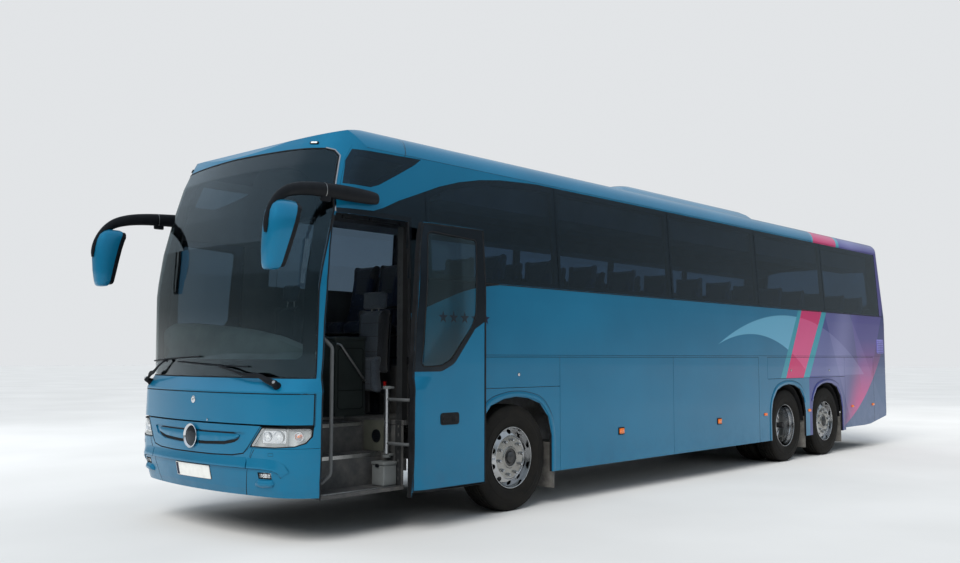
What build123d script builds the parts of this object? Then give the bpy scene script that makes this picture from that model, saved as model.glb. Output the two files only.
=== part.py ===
from build123d import *
import os, math

os.makedirs("parts", exist_ok=True)

# ---------------------------------------------------------------- driving dimensions (mm)
# Working frame: y = 0 at the front axle, +y to the rear, +x to the vehicle's left (door side),
# z = 0 on the ground. Every part is moved by -Y_MID at the end, so the origin is the middle
# of the outline on the ground and the front faces -Y.
Y_MID = 3565.0          # middle of the overall length
HALF_W = 1275.0         # half of the 2.55 m body
SKIRT_Z = 336.0
RAIL_Z = 1488.0         # joint between the lower flaps and the upper side
BELT_Z = 2180.0         # foot of the window band
CANT_Z = 3280.0         # head of the window band
CANT_X = 1200.0
ROOF_Z = 3520.0
POD_Z = 3622.0
DRIVE_Y, TAG_Y = 6080.0, 7430.0
NOSE_R, CORNER_R = 4500.0, 450.0
TAIL_Y, TAIL_R, TAIL_CORNER_R = 10180.0, 5000.0, 170.0
WALL, SKIN, GLASS, REBATE = 46.0, 28.0, 8.0, 10.0
GAP = 5.0               # all round a moving panel
TYRE_R, TYRE_W, RIM_R = 515.0, 285.0, 286.0
FLOOR_Z, CAB_Z = 1400.0, 940.0
DOOR_Y0, DOOR_Y1, DOOR_Z0, DOOR_Z1 = -2361.0, -1420.0, 340.0, 2680.0
STEER_X = 930.0         # kingpins
ARCH_HALF, ARCH_TOP = 560.0, 1105.0

# side flaps: name, y start, y end, z bottom, z top, arch centre or None
FLAPS = [
    ("fuel_flap", -450, 700, 1195, RAIL_Z),
    ("bay_door_front", 705, 2925, SKIRT_Z, RAIL_Z),
    ("bay_door_rear", 2930, 5150, SKIRT_Z, RAIL_Z),
    ("arch_flap", 5425, 8130, 1190, RAIL_Z),
    ("engine_side_door", 8135, 9350, 380, RAIL_Z),
]
# bonded panes along the window band: y start, y end
PANES = [(-1200, 698), (706, 2930), (2940, 5205), (5215, 7425), (7435, 9700)]
# front section: z, y of the nose on the centre line
NOSE = [(300, -2672), (430, -2720), (560, -2752), (720, -2770), (1211, -2757), (1322, -2678),
        (2050, -2684), (2180, -2672), (2450, -2635), (2700, -2573), (2900, -2516), (3100, -2454), (3300, -2362), (3640, -2180)]
# front edge of the doorway and of the pillar above it: z, y
PILLAR = [(300, -2349), (500, -2361), (850, -2361), (1150, -2357), (1465, -2337), (1790, -2329), (2110, -2309), (2400, -2277),
          (2570, -2247), (2725, -2214), (2920, -2160), (3150, -2095), (3278, -2020)]
DOOR_HEAD = 2680.0
# wheels: name, side, y, twin
WHEELS = [("front_left", 1, 0.0, False), ("front_right", -1, 0.0, False),
          ("drive_left", 1, DRIVE_Y, True), ("drive_right", -1, DRIVE_Y, True),
          ("tag_left", 1, TAG_Y, False), ("tag_right", -1, TAG_Y, False)]

# ---------------------------------------------------------------- helpers
nodes = {}


def box(x0, x1, y0, y1, z0, z1):
    return Pos((x0 + x1) / 2, (y0 + y1) / 2, (z0 + z1) / 2) * Box(abs(x1 - x0), abs(y1 - y0), abs(z1 - z0))


def prism_x(pts, x0, x1):
    """(y, z) outline pushed along x"""
    f = make_face(Polyline(*[(x0, y, z) for y, z in pts], close=True))
    return extrude(f, amount=x1 - x0, dir=(1, 0, 0))


def prism_y(pts, y0, y1):
    """(x, z) outline pushed along y"""
    f = make_face(Polyline(*[(x, y0, z) for x, z in pts], close=True))
    return extrude(f, amount=y1 - y0, dir=(0, 1, 0))


def prism_z(pts, z0, z1):
    """(x, y) outline pushed along z"""
    f = make_face(Polyline(*[(x, y, z0) for x, y in pts], close=True))
    return extrude(f, amount=z1 - z0, dir=(0, 0, 1))


def rod(p, q, r):
    """round bar between two points"""
    p, q = Vector(*p), Vector(*q)
    d = q - p
    return Plane(origin=(p + q) * 0.5, z_dir=d) * Cylinder(r, d.length)


def mirror_x(s):
    return s.mirror(Plane.YZ)


def both_halves(shape):
    """the left half and its mirror image as one piece"""
    h = shape & box(0, 1700, -4000, 12000, -100, 4200)
    return h + mirror_x(h)


def solids(shape):
    return [s for s in shape.solids()]


def pillar_line(g, z_lo=200.0, z_hi=4000.0):
    """(y, z) points up the front edge of the doorway, moved g to the rear"""
    return [(y + g, z) for z, y in PILLAR if z_lo <= z <= z_hi]


def put(name, *shapes):
    out = []
    for s in shapes:
        out += solids(s) if not isinstance(s, list) else [k for q in s for k in solids(q)]
    nodes[name] = out


def fuse(*shapes):
    r = shapes[0]
    for s in shapes[1:]:
        r = r + s
    return r


# ---------------------------------------------------------------- outer body shape
LEAN_Z, GLAZE_Z, GLAZE_X = 2050.0, 2180.0, 1271.5      # the side starts to lean in, foot of the flat glazing


def half_width(z):
    """upright below, a short bend, then one flat slope up to the cantrail"""
    if z <= LEAN_Z:
        return HALF_W
    if z <= GLAZE_Z:
        return HALF_W + (GLAZE_X - HALF_W) * (z - LEAN_Z) / (GLAZE_Z - LEAN_Z)
    return GLAZE_X + (CANT_X - GLAZE_X) * (z - GLAZE_Z) / (CANT_Z - GLAZE_Z)


def tail_y(z):
    return TAIL_Y - max(0.0, (z - GLAZE_Z) * 0.10) - max(0.0, (560 - z) * 0.22)


def plan(z, nose, t):
    """one level of the body in plan, t inside the outer face"""
    hw = half_width(z) - t
    R, r = NOSE_R - t, CORNER_R - t
    yc = nose + t
    yb = yc + R - math.sqrt((R - r) ** 2 - (hw - r) ** 2)
    ux, uy = (hw - r), yb - (yc + R)
    n = math.hypot(ux, uy)
    tx, ty = ux / n * R, yc + R + uy / n * R
    a0, a1 = math.atan2(ty - yb, tx - (hw - r)), 0.0
    am = (a0 + a1) / 2
    m = (hw - r + r * math.cos(am), yb + r * math.sin(am))
    R2, r2 = TAIL_R - t, TAIL_CORNER_R - t
    yr = tail_y(z) - t
    ye = yr - R2 + math.sqrt((R2 - r2) ** 2 - (hw - r2) ** 2)
    vx, vy = (hw - r2), ye - (yr - R2)
    n2 = math.hypot(vx, vy)
    sx, sy = vx / n2 * R2, yr - R2 + vy / n2 * R2
    b1 = math.atan2(sy - ye, sx - (hw - r2))
    bm = b1 / 2
    m2 = (hw - r2 + r2 * math.cos(bm), ye + r2 * math.sin(bm))
    P = lambda x, y: (x, y, z)
    edges = [ThreePointArc(P(-tx, ty), P(0, yc), P(tx, ty)), ThreePointArc(P(tx, ty), P(*m), P(hw, yb)),
             Line(P(hw, yb), P(hw, ye)), ThreePointArc(P(hw, ye), P(*m2), P(sx, sy)),
             ThreePointArc(P(sx, sy), P(0, yr), P(-sx, sy)), ThreePointArc(P(-sx, sy), P(-m2[0], m2[1]), P(-hw, ye)),
             Line(P(-hw, ye), P(-hw, yb)), ThreePointArc(P(-hw, yb), P(-m[0], m[1]), P(-tx, ty))]
    return make_face(Wire(edges))


def section(t):
    """roof and coves in cross-section pushed along y, t inside the outer face; wider than the body below"""
    cx, cz = CANT_X - t, CANT_Z
    ex, ez, top = 950 - t * 0.6, 3478 - t, ROOF_Z - t
    dx, dz = cx - ex, ez - cz
    ch = math.hypot(dx, dz)
    sag = ch * 0.176
    mx, mz = (cx + ex) / 2 + dz / ch * sag, (cz + ez) / 2 + dx / ch * sag
    # circle through the three points, carried on 24 mm below the cantrail
    R = (ch * ch / 4 + sag * sag) / (2 * sag)
    ox, oz = mx - dz / ch * R, mz - dx / ch * R
    a0 = math.atan2(cz - oz, cx - ox) - 24.0 / R
    sx, sz = ox + R * math.cos(a0), oz + R * math.sin(a0)
    y = -3200
    P = lambda x, z: (x, y, z)
    edges = [Line(P(-1500, 200), P(1500, 200)), Line(P(1500, 200), P(1500, sz)), Line(P(1500, sz), P(sx, sz)),
             ThreePointArc(P(sx, sz), P(mx, mz), P(ex, ez)), ThreePointArc(P(ex, ez), P(0, top), P(-ex, ez)),
             ThreePointArc(P(-ex, ez), P(-mx, mz), P(-sx, sz)), Line(P(-sx, sz), P(-1500, sz)), Line(P(-1500, sz), P(-1500, 200))]
    return extrude(make_face(Wire(edges)), amount=13800, dir=(0, 1, 0))


def roofline(t):
    """side profile: the roof falls to the windscreen head at the front and the tail at the rear"""
    x = -1600
    top = ROOF_Z - t + 2.0
    P = lambda y, z: (x, y, z)
    ya, za, yb2 = -2290 + t, 3345 - t * 0.8, -1150
    Rr = ((yb2 - ya) ** 2 + (top - za) ** 2) / (2 * (top - za))
    ym = (ya + yb2) / 2
    zmid = top - Rr + math.sqrt(Rr ** 2 - (yb2 - ym) ** 2)
    e = [Line(P(-3100, 150), P(-3100, za - 210)), Line(P(-3100, za - 210), P(ya - 150, za - 120)), Line(P(ya - 150, za - 120), P(ya, za)),
         ThreePointArc(P(ya, za), P(ym, zmid), P(yb2, top)),
         Line(P(yb2, top), P(9300 - t, top)), ThreePointArc(P(9300 - t, top), P(9840 - t, top - 34), P(10120 - t, top - 150)),
         Line(P(10120 - t, top - 150), P(10400, 3150)), Line(P(10400, 3150), P(10400, 150)), Line(P(10400, 150), P(-3100, 150))]
    return extrude(make_face(Wire(e)), amount=3200, dir=(1, 0, 0))


def body_solid(t):
    b = loft([plan(z, n, t) for z, n in NOSE], ruled=True)
    return (b & section(t)) & roofline(t)


O = {t: body_solid(t) for t in (0, GLASS, REBATE, SKIN, WALL)}
shell_wall = O[0] - O[WALL]
shell_skin = O[0] - O[SKIN]
shell_glass = O[0] - O[GLASS]
shell_pillar = O[REBATE] - O[WALL]


# windscreen outline in front view (x, z): flat foot, leaning sides, arched head
def screen_outline(g):
    half = [(1200 - g, 1320 + g), (1213 - g, 2150), (1212 - g, 2440), (1199 - g, 2690), (1168 - g, 2890), (1149 - g, 3100),
            (1138 - g, 3172), (1104 - g, 3220 - g), (1050, 3238 - g), (700, 3250 - g), (0, 3258 - g)]
    return half + [(-x, z) for x, z in reversed(half[:-1])]


screen_cut = prism_y(screen_outline(0), -3000, -1700)
screen_glass = prism_y(screen_outline(3), -3000, -1700)
side_zone = prism_x([(-2354, 200)] + pillar_line(-2, 350, 3278) + [(-1420, 3278), (-1420, 3900), (11000, 3900), (11000, 200)], -1400, 1400)
windscreen = both_halves((shell_glass & screen_glass) - side_zone)
put("windscreen", windscreen)

# front flap below the screen
FLAP_Z0, FLAP_Z1, FLAP_X = 950.0, 1190.0, 1226.0
LAMP_TOP = 929.0        # the flap's ends dip past the lamps as it lifts


def front_piece(shell, x_half, z0, z1):
    return shell & box(-x_half, x_half, -3000, -2300, z0, z1)


front_flap = front_piece(O[0] - O[REBATE], FLAP_X, FLAP_Z0, FLAP_Z1)
flap_hole = box(-FLAP_X - GAP, FLAP_X + GAP, -3000, -2300, LAMP_TOP, FLAP_Z1 + GAP)

# headlamp aperture in front view (x, z)
LAMP = [(758, 768), (880, LAMP_TOP), (1230, LAMP_TOP), (1227, 858), (1201, 804), (1147, 778), (1015, 768)]


def lamp_prism(g, side):
    cx, cz = 1030, 850
    pts = [(side * (cx + (x - cx) * (1 - g / 180)), cz + (z - cz) * (1 - g / 80)) for x, z in LAMP]
    return prism_y(pts, -3000, -2250)


# the grille panel sits between flap and bumper, its foot curved like a bowl (x, z)
BOWL = [(-868, 940), (868, 940), (738, 766), (690, 716), (560, 696), (300, 688), (-300, 688), (-560, 696), (-690, 716), (-738, 766)]
GRILLE = [(-700, 876), (-640, 882), (640, 882), (700, 876), (640, 812), (470, 772), (200, 760), (-200, 760), (-470, 772), (-640, 812)]


def scaled(pts, g, cx=0.0, cz=820.0):
    return [(cx + (x - cx) * (1 - g / 800), cz + (z - cz) * (1 - g / 110)) for x, z in pts]


panel = shell_skin & prism_y(scaled(BOWL, 3), -3000, -2400)
put("grille_panel", panel - ((O[0] - O[REBATE]) & prism_y(GRILLE, -3000, -2400)))

mask_zone = box(-1400, 1400, -3000, -1420, 655, 3900) - side_zone
front_mask = (shell_wall & mask_zone) - screen_cut - flap_hole - prism_y(scaled(BOWL, -2), -3000, -2300)
bumper_top = [(-1400, 770), (-1015, 764), (-758, 764), (-690, 716), (-560, 692), (-300, 684), (300, 684), (560, 692), (690, 716), (758, 764),
              (1015, 764), (1400, 770)]
front_mask = front_mask - prism_y(bumper_top + [(1400, 300), (-1400, 300)], -3000, -2000)
for s in (1, -1):
    front_mask = front_mask - lamp_prism(0, s)
put("front_mask", max(both_halves(front_mask).solids(), key=lambda q: q.volume))

# bumper: centre and two corners, with fog lamp holes
BUMP_Z0 = 372.0
bump = shell_wall & box(-1400, 1400, -3000, -1900, BUMP_Z0, 800)
bump = bump - side_zone
bump = bump & prism_y([(x, z - 3) for x, z in bumper_top] + [(1400, 300), (-1400, 300)], -3000, -1900)
split = [(806, 800), (735, 638), (652, 350)]
mid = prism_y([(x - 2, z) for x, z in split] + [(-x + 2, z) for x, z in reversed(split)], -3000, -1900)
out_r = prism_y([(x + 2, z) for x, z in split] + [(1400, 350), (1400, 800)], -3000, -1900)
centre = bump & mid
fog = Plane(origin=(900, -2700, 545), x_dir=(1, 0, 0), z_dir=(0, -1, 0))
corner = (bump & out_r) - fog * Box(136, 52, 400)
put("front_bumper", both_halves(centre), corner, mirror_x(corner))

lamps = [shell_skin & lamp_prism(4, 1), shell_skin & (fog * Box(130, 46, 400))]
lamps += [mirror_x(q) for q in lamps]
put("headlamps", *lamps)

# ---------------------------------------------------------------- side walls
def arch(y, g=0.0):
    """wheel opening in side view"""
    h, top = ARCH_HALF + g, ARCH_TOP + g
    return [(y - h, 150), (y - h, 700), (y - h * 0.90, 890), (y - h * 0.66, 1030), (y - h * 0.33, top - 18), (y, top),
            (y + h * 0.33, top - 18), (y + h * 0.66, 1030), (y + h * 0.90, 890), (y + h, 700), (y + h, 150)]


def skirt_cut():
    """the tail lifts towards the rear"""
    return prism_x([(7950, 100), (7950, 336), (9180, 391), (9890, 493), (10500, 585), (10500, 100)], -1400, 1400)


band_z0, band_z1 = 2196.0, 3262.0
open_panes = [(y0 + 52, y1 - 52) for y0, y1 in PANES]


def side_wall(s):
    x0, x1 = 600, 1400
    y1e = 9882
    zone = prism_x([(-2352, SKIRT_Z)] + pillar_line(0, 350, 3278) + [(y1e, 3278), (y1e, SKIRT_Z)], x0, x1)
    wall = O[0] & zone
    wall = wall - (O[WALL] & box(-1400, 1400, -3500, 11000, RAIL_Z, 3900))
    wall = wall - (O[SKIN] & box(-1400, 1400, -3500, 11000, 100, RAIL_Z))
    band = prism_x([(-2230, 2722), (-2100, 2724), (-1830, 2733), (-1714, 2772), (-1533, 2856), (-1282, 2950), (-1019, 3050), (-743, 3130),
                    (-457, 3189), (-159, 3228), (151, 3248), (400, band_z1), (9715, band_z1), (9715, band_z0), (-1400, band_z0), (-1400, 2700), (-2235, 2700)], x0, x1)
    quarter = prism_x([(-2140, 2935), (-1854, 2935), (-1761, 2965), (-1516, 3097), (-1322, 3206), (-1240, 3268), (-2025, 3246), (-2094, 3139)], x0, x1)
    ring_out = O[0] - O[REBATE]
    wall = wall - (ring_out & band) - (ring_out & quarter)
    # window openings behind the panes
    for y0, y1 in open_panes:
        z0, z1 = 2240, 3205
        if y0 < 0:
            wall = wall - prism_x([(y0, z0), (y1, z0), (y1, z1), (500, z1), (-345, 3150), (-900, 3040), (y0, 2930)], x0, x1)
        else:
            wall = wall - prism_x([(y0, z0), (y1, z0), (y1, z1), (y0, z1)], x0, x1)
    wall = wall - prism_x([(-2090, 2975), (-1850, 2980), (-1600, 3100), (-1440, 3195), (-2000, 3195)], x0, x1)
    # wheel openings
    for y in (0.0, DRIVE_Y, TAG_Y):
        wall = wall - prism_x(arch(y), x0, x1)
    # flap openings
    for name, y0, y1, z0, z1 in FLAPS:
        wall = wall - box(x0, x1, y0 - GAP, y1 + GAP, (z0 - GAP) if z0 > 1000 else 100, z1 + GAP)
    wall = wall - skirt_cut()
    if s > 0:
        wall = wall - prism_x(pillar_line(-5, 200, 2600) + [(-2218, DOOR_HEAD), (DOOR_Y1, DOOR_HEAD), (DOOR_Y1, 200), (-2400, 200)], x0, x1)
        return wall
    return mirror_x(wall - box(x0, x1, -2210, -1470, 1640, 2640))


left_wall, right_wall = side_wall(1), side_wall(-1)
put("left_side_wall", left_wall)
put("right_side_wall", right_wall)

# window panes
panes = []
x0, x1 = 600, 1400
g = 3
for i, (y0, y1) in enumerate(PANES):
    if i == 0:
        pts = [(y0, band_z0 + g), (y1, band_z0 + g), (y1, band_z1 - g), (402, band_z1 - g), (151, 3245), (-159, 3225), (-457, 3186), (-743, 3127),
               (-1019, 3047), (y0, 2980)]
    else:
        pts = [(y0, band_z0 + g), (y1, band_z0 + g), (y1, band_z1 - g), (y0, band_z1 - g)]
    panes.append(shell_glass & prism_x(pts, x0, x1))
# dark panel over the doorway, and the quarter pane above the sweeping band
panes.append(shell_glass & prism_x([(-1398, band_z0 + 3), (-1206, band_z0 + 3), (-1206, 2974), (-1282, 2947), (-1533, 2853), (-1714, 2769),
                                    (-1830, 2730), (-2100, 2721), (-2205, 2719), (-2212, 2703), (-1398, 2703)], x0, x1))
panes.append(shell_glass & prism_x([(-2137, 2938), (-1854, 2938), (-1761, 2968), (-1516, 3100), (-1322, 3209), (-1246, 3265), (-2023, 3243), (-2091, 3139)], x0, x1))
panes += [mirror_x(q) for q in panes]
panes.append((O[0] - O[REBATE]) & box(-1400, -1000, -2206, -1474, 1644, 2636))
put("side_windows", *panes)

# lower flaps, one node each
for s, side in ((1, "left"), (-1, "right")):
    x0, x1 = (1000, 1400) if s > 0 else (-1400, -1000)
    for name, y0, y1, z0, z1 in FLAPS:
        f = shell_skin & box(x0, x1, y0, y1, z0, z1)
        if name == "bay_door_front" or name == "bay_door_rear":
            f = f + box(s * (HALF_W - SKIN - 14), s * (HALF_W - SKIN + 1), y0 + 60, y1 - 60, z0 + 60, z1 - 120)
        if name == "engine_side_door":
            f = f - skirt_cut()
        for y in (DRIVE_Y, TAG_Y):
            f = f - prism_x(arch(y, GAP), x0, x1)
        put(name + "_" + side, f)

# ---------------------------------------------------------------- roof, pod, hatches
roof = shell_wall & box(-1400, 1400, -1417, 9882, CANT_Z + 1, 3700)
HATCHES = [(1150, 1750), (7150, 7750)]      # y start, y end
for y0, y1 in HATCHES:
    roof = roof - box(-330, 330, y0, y1, 3300, 3700)
put("roof_shell", roof)
hatch = []
for y0, y1 in HATCHES:
    lid = box(-327, 327, y0 + 3, y1 - 3, 3470, 3535) + box(-355, 355, y0 - 25, y1 + 25, 3522, 3556)
    hatch.append(lid - box(-300, 300, y0 + 30, y1 - 30, 3400, 3540))
put("roof_hatches", *hatch)


def pod_level(z, grow):
    hw, y0, y1, r = 900 - grow, 2290 + grow * 2.6, 5930 - grow * 1.2, 150
    return Pos(0, (y0 + y1) / 2, z) * RectangleRounded(2 * hw, y1 - y0, r)


pod = loft([pod_level(3500, 0), pod_level(3560, 60), pod_level(3600, 130), pod_level(POD_Z, 210)], ruled=True)
pod = pod - O[0]
put("aircon_pod", max(pod.solids(), key=lambda q: q.volume).moved(Location((0, 0, 0.4))))

# ---------------------------------------------------------------- rear
rear_zone = box(-1400, 1400, 9884, 10400, 700, 3700)
rear = (shell_wall & rear_zone) - skirt_cut()
RW = [(-1010, 2330), (1010, 2330), (960, 3090), (700, 3150), (-700, 3150), (-960, 3090)]
rear = rear - prism_y(RW, 9800, 10400)
LID = (-900.0, 900.0, 860.0, 1980.0)
rear = rear - box(LID[0] - GAP, LID[1] + GAP, 9800, 10400, LID[2] - GAP, LID[3] + GAP)
TAIL_LAMP = [(1010, 900), (1232, 900), (1232, 1560), (1010, 1560)]
for s in (1, -1):
    rear = rear - prism_y([(s * x, z) for x, z in TAIL_LAMP], 9800, 10400)
put("rear_panel", rear)
rw = [(x * 0.995, 2334 + (z - 2330) * 0.99) for x, z in RW]
put("rear_window", shell_glass & prism_y(rw, 9800, 10400))
put("engine_lid", shell_skin & box(LID[0], LID[1], 9884, 10400, LID[2], LID[3]))
tl = []
for s in (1, -1):
    tl.append(shell_skin & prism_y([(s * (x + (3 if x < 1100 else -3)), z + (3 if z < 1000 else -3)) for x, z in TAIL_LAMP], 9884, 10400))
put("tail_lamps", *tl)
put("rear_bumper", (shell_wall & box(-1400, 1400, 9884, 10400, 300, 697)) - skirt_cut())

# ---------------------------------------------------------------- underframe, floors
RAIL_IN, RAIL_OUT, RAIL_LO, RAIL_HI = 380, 460, 620, 800
EYE_R = 20.0
# ladder: y start, y end, cross members (y, half length)
LADDERS = [
    (-2450, 735, [(-2400, 1000), (-760, 1000), (650, 460)]),
    (5150, 9700, [(5470, 1000), (6755, 460), (8060, 1000), (9600, 1000)]),
]
front_ladder, rear_ladder = [
    fuse(*[box(s * RAIL_IN, s * RAIL_OUT, y0, y1, RAIL_LO, RAIL_HI) for s in (1, -1)],
         *[box(-half, half, y - 30, y + 30, 640, 760) for y, half in members])
    for y0, y1, members in LADDERS]
# towing eyes: the front one lies flat and takes its pin from below, the rear one stands
front_ladder = front_ladder + box(-15, 15, -2480, -2390, 435, 700) + box(-40, 40, -2600, -2440, 435, 465)
front_ladder = front_ladder - Pos(0, -2545, 450) * Cylinder(EYE_R, 100)
rear_ladder = rear_ladder + box(-15, 15, 9595, 9790, 400, 700)
rear_ladder = rear_ladder - Plane(origin=(0, 9735, 450), z_dir=(1, 0, 0)) * Cylinder(EYE_R, 100)
put("underframe", front_ladder, rear_ladder)

# luggage bays: floor, three bulkheads and two longerons below
bays = box(-1215, 1215, 737, 5146, 420, 450)
for y in (737, 2915, 5120):
    bays = bays + box(-1215, 1215, y, y + 26, 420, 1355)
for s in (1, -1):
    bays = bays + box(s * RAIL_IN, s * RAIL_OUT, 737, 5146, 360, 420)
put("luggage_bays", bays)

floor = box(-1225, 1225, -760, 9700, 1360, FLOOR_Z)
step_hole = box(330, 1400, -2300, -1430, 300, 1600)
cab = box(-1225, 1225, -2560, -764, CAB_Z - 40, CAB_Z)
cab = cab & O[WALL + 0]
cab = cab - box(420, 1400, -2330, -1440, 300, 1600)
steps = fuse(box(900, 1222, -2330, -1440, 350, 380), box(900, 930, -2330, -1440, 380, 650), box(640, 930, -2330, -1440, 620, 650),
             box(640, 670, -2330, -1440, 650, 900), box(422, 670, -2330, -1440, 870, 900))
steps = steps + box(466, 1214, -1446, -1440, 352, 896) + box(466, 1190, -2330, -2324, 352, 896)
riser = box(-1225, 1225, -790, -760, CAB_Z, 1400)
walk = box(-300, 300, -1050, -790, CAB_Z, 1170)
arches = []
for y in (0.0,):
    for s in (1, -1):
        arches.append(box(s * 520, s * 1225, -700, -670, 700, 1360))
# the shut door's leaf keeps 8 mm from the floor and steps
door_room = box(1100, 1400, -2385, -1425, 300, 1600) - body_solid(58)
put("saloon_floor", floor + riser + walk, cab - door_room, steps - door_room)

# ---------------------------------------------------------------- engine
put("engine_block", box(-330, 330, 8250, 9500, 520, 1300))

# ---------------------------------------------------------------- axles and knuckles
def turned(profile, y):
    """(x, radius) outline turned about the wheel line"""
    f = make_face(Polyline(*[(x, y, TYRE_R + r) for x, r in profile], close=True))
    return revolve(f, axis=Axis((0, y, TYRE_R), (1, 0, 0)), revolution_arc=360)


fa = box(-862, 862, -35, 35, 400, 480) + box(-420, 420, -180, 180, 480, 540)
for s in (1, -1):
    fa = fa + box(s * 760, s * 862, -35, 35, 400, 640) + box(s * 760, s * 975, -35, 35, 606, 640) + box(s * 760, s * 975, -35, 35, 390, 424)
    fa = fa - Pos(s * STEER_X, 0, 515) * Cylinder(16.4, 300)
    fa = fa + box(s * 400, s * 500, -300, 300, 520, 545)
    for y in (-240, 240):
        fa = fa + Pos(s * 440, y, 580) * Cylinder(52, 78)
put("front_axle", fa)
for s, side in ((1, "left"), (-1, "right")):
    k = Pos(s * STEER_X, 0, 515) * Cylinder(48, 170)
    k = k + Pos(s * STEER_X, 0, 515) * Cylinder(16, 248)
    k = k + rod((s * (STEER_X + 10), 0, TYRE_R), (s * 1195, 0, TYRE_R), 40)
    k = k + box(s * 916, s * 944, 20, 230, 500, 530)
    put("knuckle_" + side, k)


def beam_axle(y, diff):
    if diff:
        prof = [(-1180, 0), (-1180, 38), (-560, 38), (-560, 72), (-300, 80), (-210, 170), (-110, 212), (110, 212), (210, 170), (300, 80), (560, 72),
                (560, 38), (1180, 38), (1180, 0)]
    else:
        prof = [(-1195, 0), (-1195, 38), (-900, 38), (-900, 70), (900, 70), (900, 38), (1195, 38), (1195, 0)]
    a = turned(prof, y)
    for s in (1, -1):
        a = a + box(s * 380, s * 460, y - 420, y + 420, 455, 500)
        for dy in (-350, 350):
            a = a + Pos(s * 420, y + dy, 559) * Cylinder(100, 118)
    return a


put("drive_axle", beam_axle(DRIVE_Y, True))
put("tag_axle", beam_axle(TAG_Y, False))

# ---------------------------------------------------------------- wheels
def ring(profile, xc, y, s):
    """(offset outwards, radius) outline turned about the wheel's axis"""
    f = make_face(Polyline(*[(xc + s * o, y, TYRE_R + r) for o, r in profile], close=True))
    return revolve(f, axis=Axis((0, y, TYRE_R), (1, 0, 0)), revolution_arc=360)


TYRE = [(-112, 288), (-115, 302), (-127, 326), (-TYRE_W / 2, 392), (-TYRE_W / 2 + 4, 450), (-128, 488), (-112, 507), (-60, TYRE_R), (60, TYRE_R),
        (112, 507), (128, 488), (TYRE_W / 2 - 4, 450), (TYRE_W / 2, 392), (127, 326), (115, 302), (112, 288), (92, 288), (96, 306), (116, 380),
        (118, 450), (90, 488), (-90, 488), (-118, 450), (-116, 380), (-96, 306), (-92, 288)]
BARREL = [(-122, 262), (-122, 297), (-116, 297), (-114, 287), (-90, 287), (-60, 272), (60, 272), (90, 287), (114, 287), (116, 297), (122, 297),
          (122, 262), (90, 262), (60, 258), (-60, 258), (-90, 262)]


def holes(s_, xc, y, r_at, r_hole, n=10):
    out = []
    for i in range(n):
        a = 2 * math.pi * i / n
        out.append(Plane(origin=(xc, y + r_at * math.cos(a), TYRE_R + r_at * math.sin(a)), z_dir=(1, 0, 0)) * Cylinder(r_hole, 400))
    r = s_
    for h in out:
        r = r - h
    return r


def wheel(name, s, y, twin):
    if not twin:
        xc = s * 1098
        tyre = ring(TYRE, xc, y, s)
        disc = [(40, 264), (92, 236), (98, 205), (98, 120), (78, 112), (78, 42), (62, 42), (62, 112), (82, 126), (82, 200), (76, 228), (26, 254)]
        r = ring(BARREL, xc, y, s) + ring(disc, xc, y, s)
        r = holes(r, xc + s * 60, y, 205, 26)
        hub = ring([(30, 43), (30, 110), (62, 110), (118, 95), (140, 74), (140, 43)], xc, y, s)
        put(name + "_tyre", tyre)
        put(name + "_rim", r + hub)
    else:
        xo, xi = s * 1086, s * 756
        put(name + "_tyre", ring(TYRE, xo, y, s), ring(TYRE, xi, y, s))
        disc_o = [(-100, 264), (-148, 236), (-156, 205), (-156, 42), (-140, 42), (-140, 200), (-132, 228), (-86, 254)]
        r = ring(BARREL, xo, y, s) + ring(disc_o, xo, y, s)
        r = r + ring([(-174, 42), (-174, 262), (-158, 262), (-155, 205), (-155, 42)], xo, y, s) + ring(BARREL, xi, y, s)
        r = r + ring([(40 + 330 * 0, 262), (118, 262), (175, 240), (175, 225), (112, 246), (40, 246)], xi, y, s)
        r = holes(r, xo - s * 140, y, 205, 26)
        hub = ring([(-172, 43), (-172, 150), (-60, 140), (-20, 118), (-20, 43)], xo, y, s)
        put(name + "_tyre", ring(TYRE, xo, y, s), ring(TYRE, xi, y, s))
        put(name + "_rim", r + hub)


for w in WHEELS:
    wheel(*w)

# ---------------------------------------------------------------- passenger door
LEAF_T, LEAF_OPEN_X, LEAF_SHIFT_Y = 50.0, 1445.0, 825.0   # outer face when open; travel forwards to close
LEAF_Y0, LEAF_Y1 = DOOR_Y0 + 8 + LEAF_SHIFT_Y, DOOR_Y1 - 35 + LEAF_SHIFT_Y
LEAF_Z0, LEAF_Z1 = 346.0, 2670.0
POST_X, POST_Y = 1060.0, -1500.0
EYE_X = LEAF_OPEN_X - LEAF_T - 30
# the eye's place along the leaf makes the arm as long when shut as when open
_dx = LEAF_OPEN_X - HALF_W
_a = (EYE_X - POST_X) ** 2 - (EYE_X - _dx - POST_X) ** 2
EYE_Y = POST_Y + (LEAF_SHIFT_Y ** 2 - _a) / (2 * LEAF_SHIFT_Y)
ARM_L = math.hypot(EYE_X - POST_X, EYE_Y - POST_Y)
swing = math.degrees(math.atan2(EYE_Y - POST_Y, EYE_X - POST_X) - math.atan2(EYE_Y - LEAF_SHIFT_Y - POST_Y, EYE_X - _dx - POST_X))
print("door: eye", EYE_X, round(EYE_Y, 2), "arm", round(ARM_L, 2), "swing deg", round(swing, 2))
ARM_ZS = (740.0, 1120.0)


leaf_shell = O[0] - body_solid(LEAF_T)
leaf = leaf_shell & prism_x([(y, z) for y, z in pillar_line(8, 200, 2600)] + [(-2208, LEAF_Z1), (DOOR_Y1 - 35, LEAF_Z1), (DOOR_Y1 - 35, LEAF_Z0), (-2341, LEAF_Z0)], 900, 1400)
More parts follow.
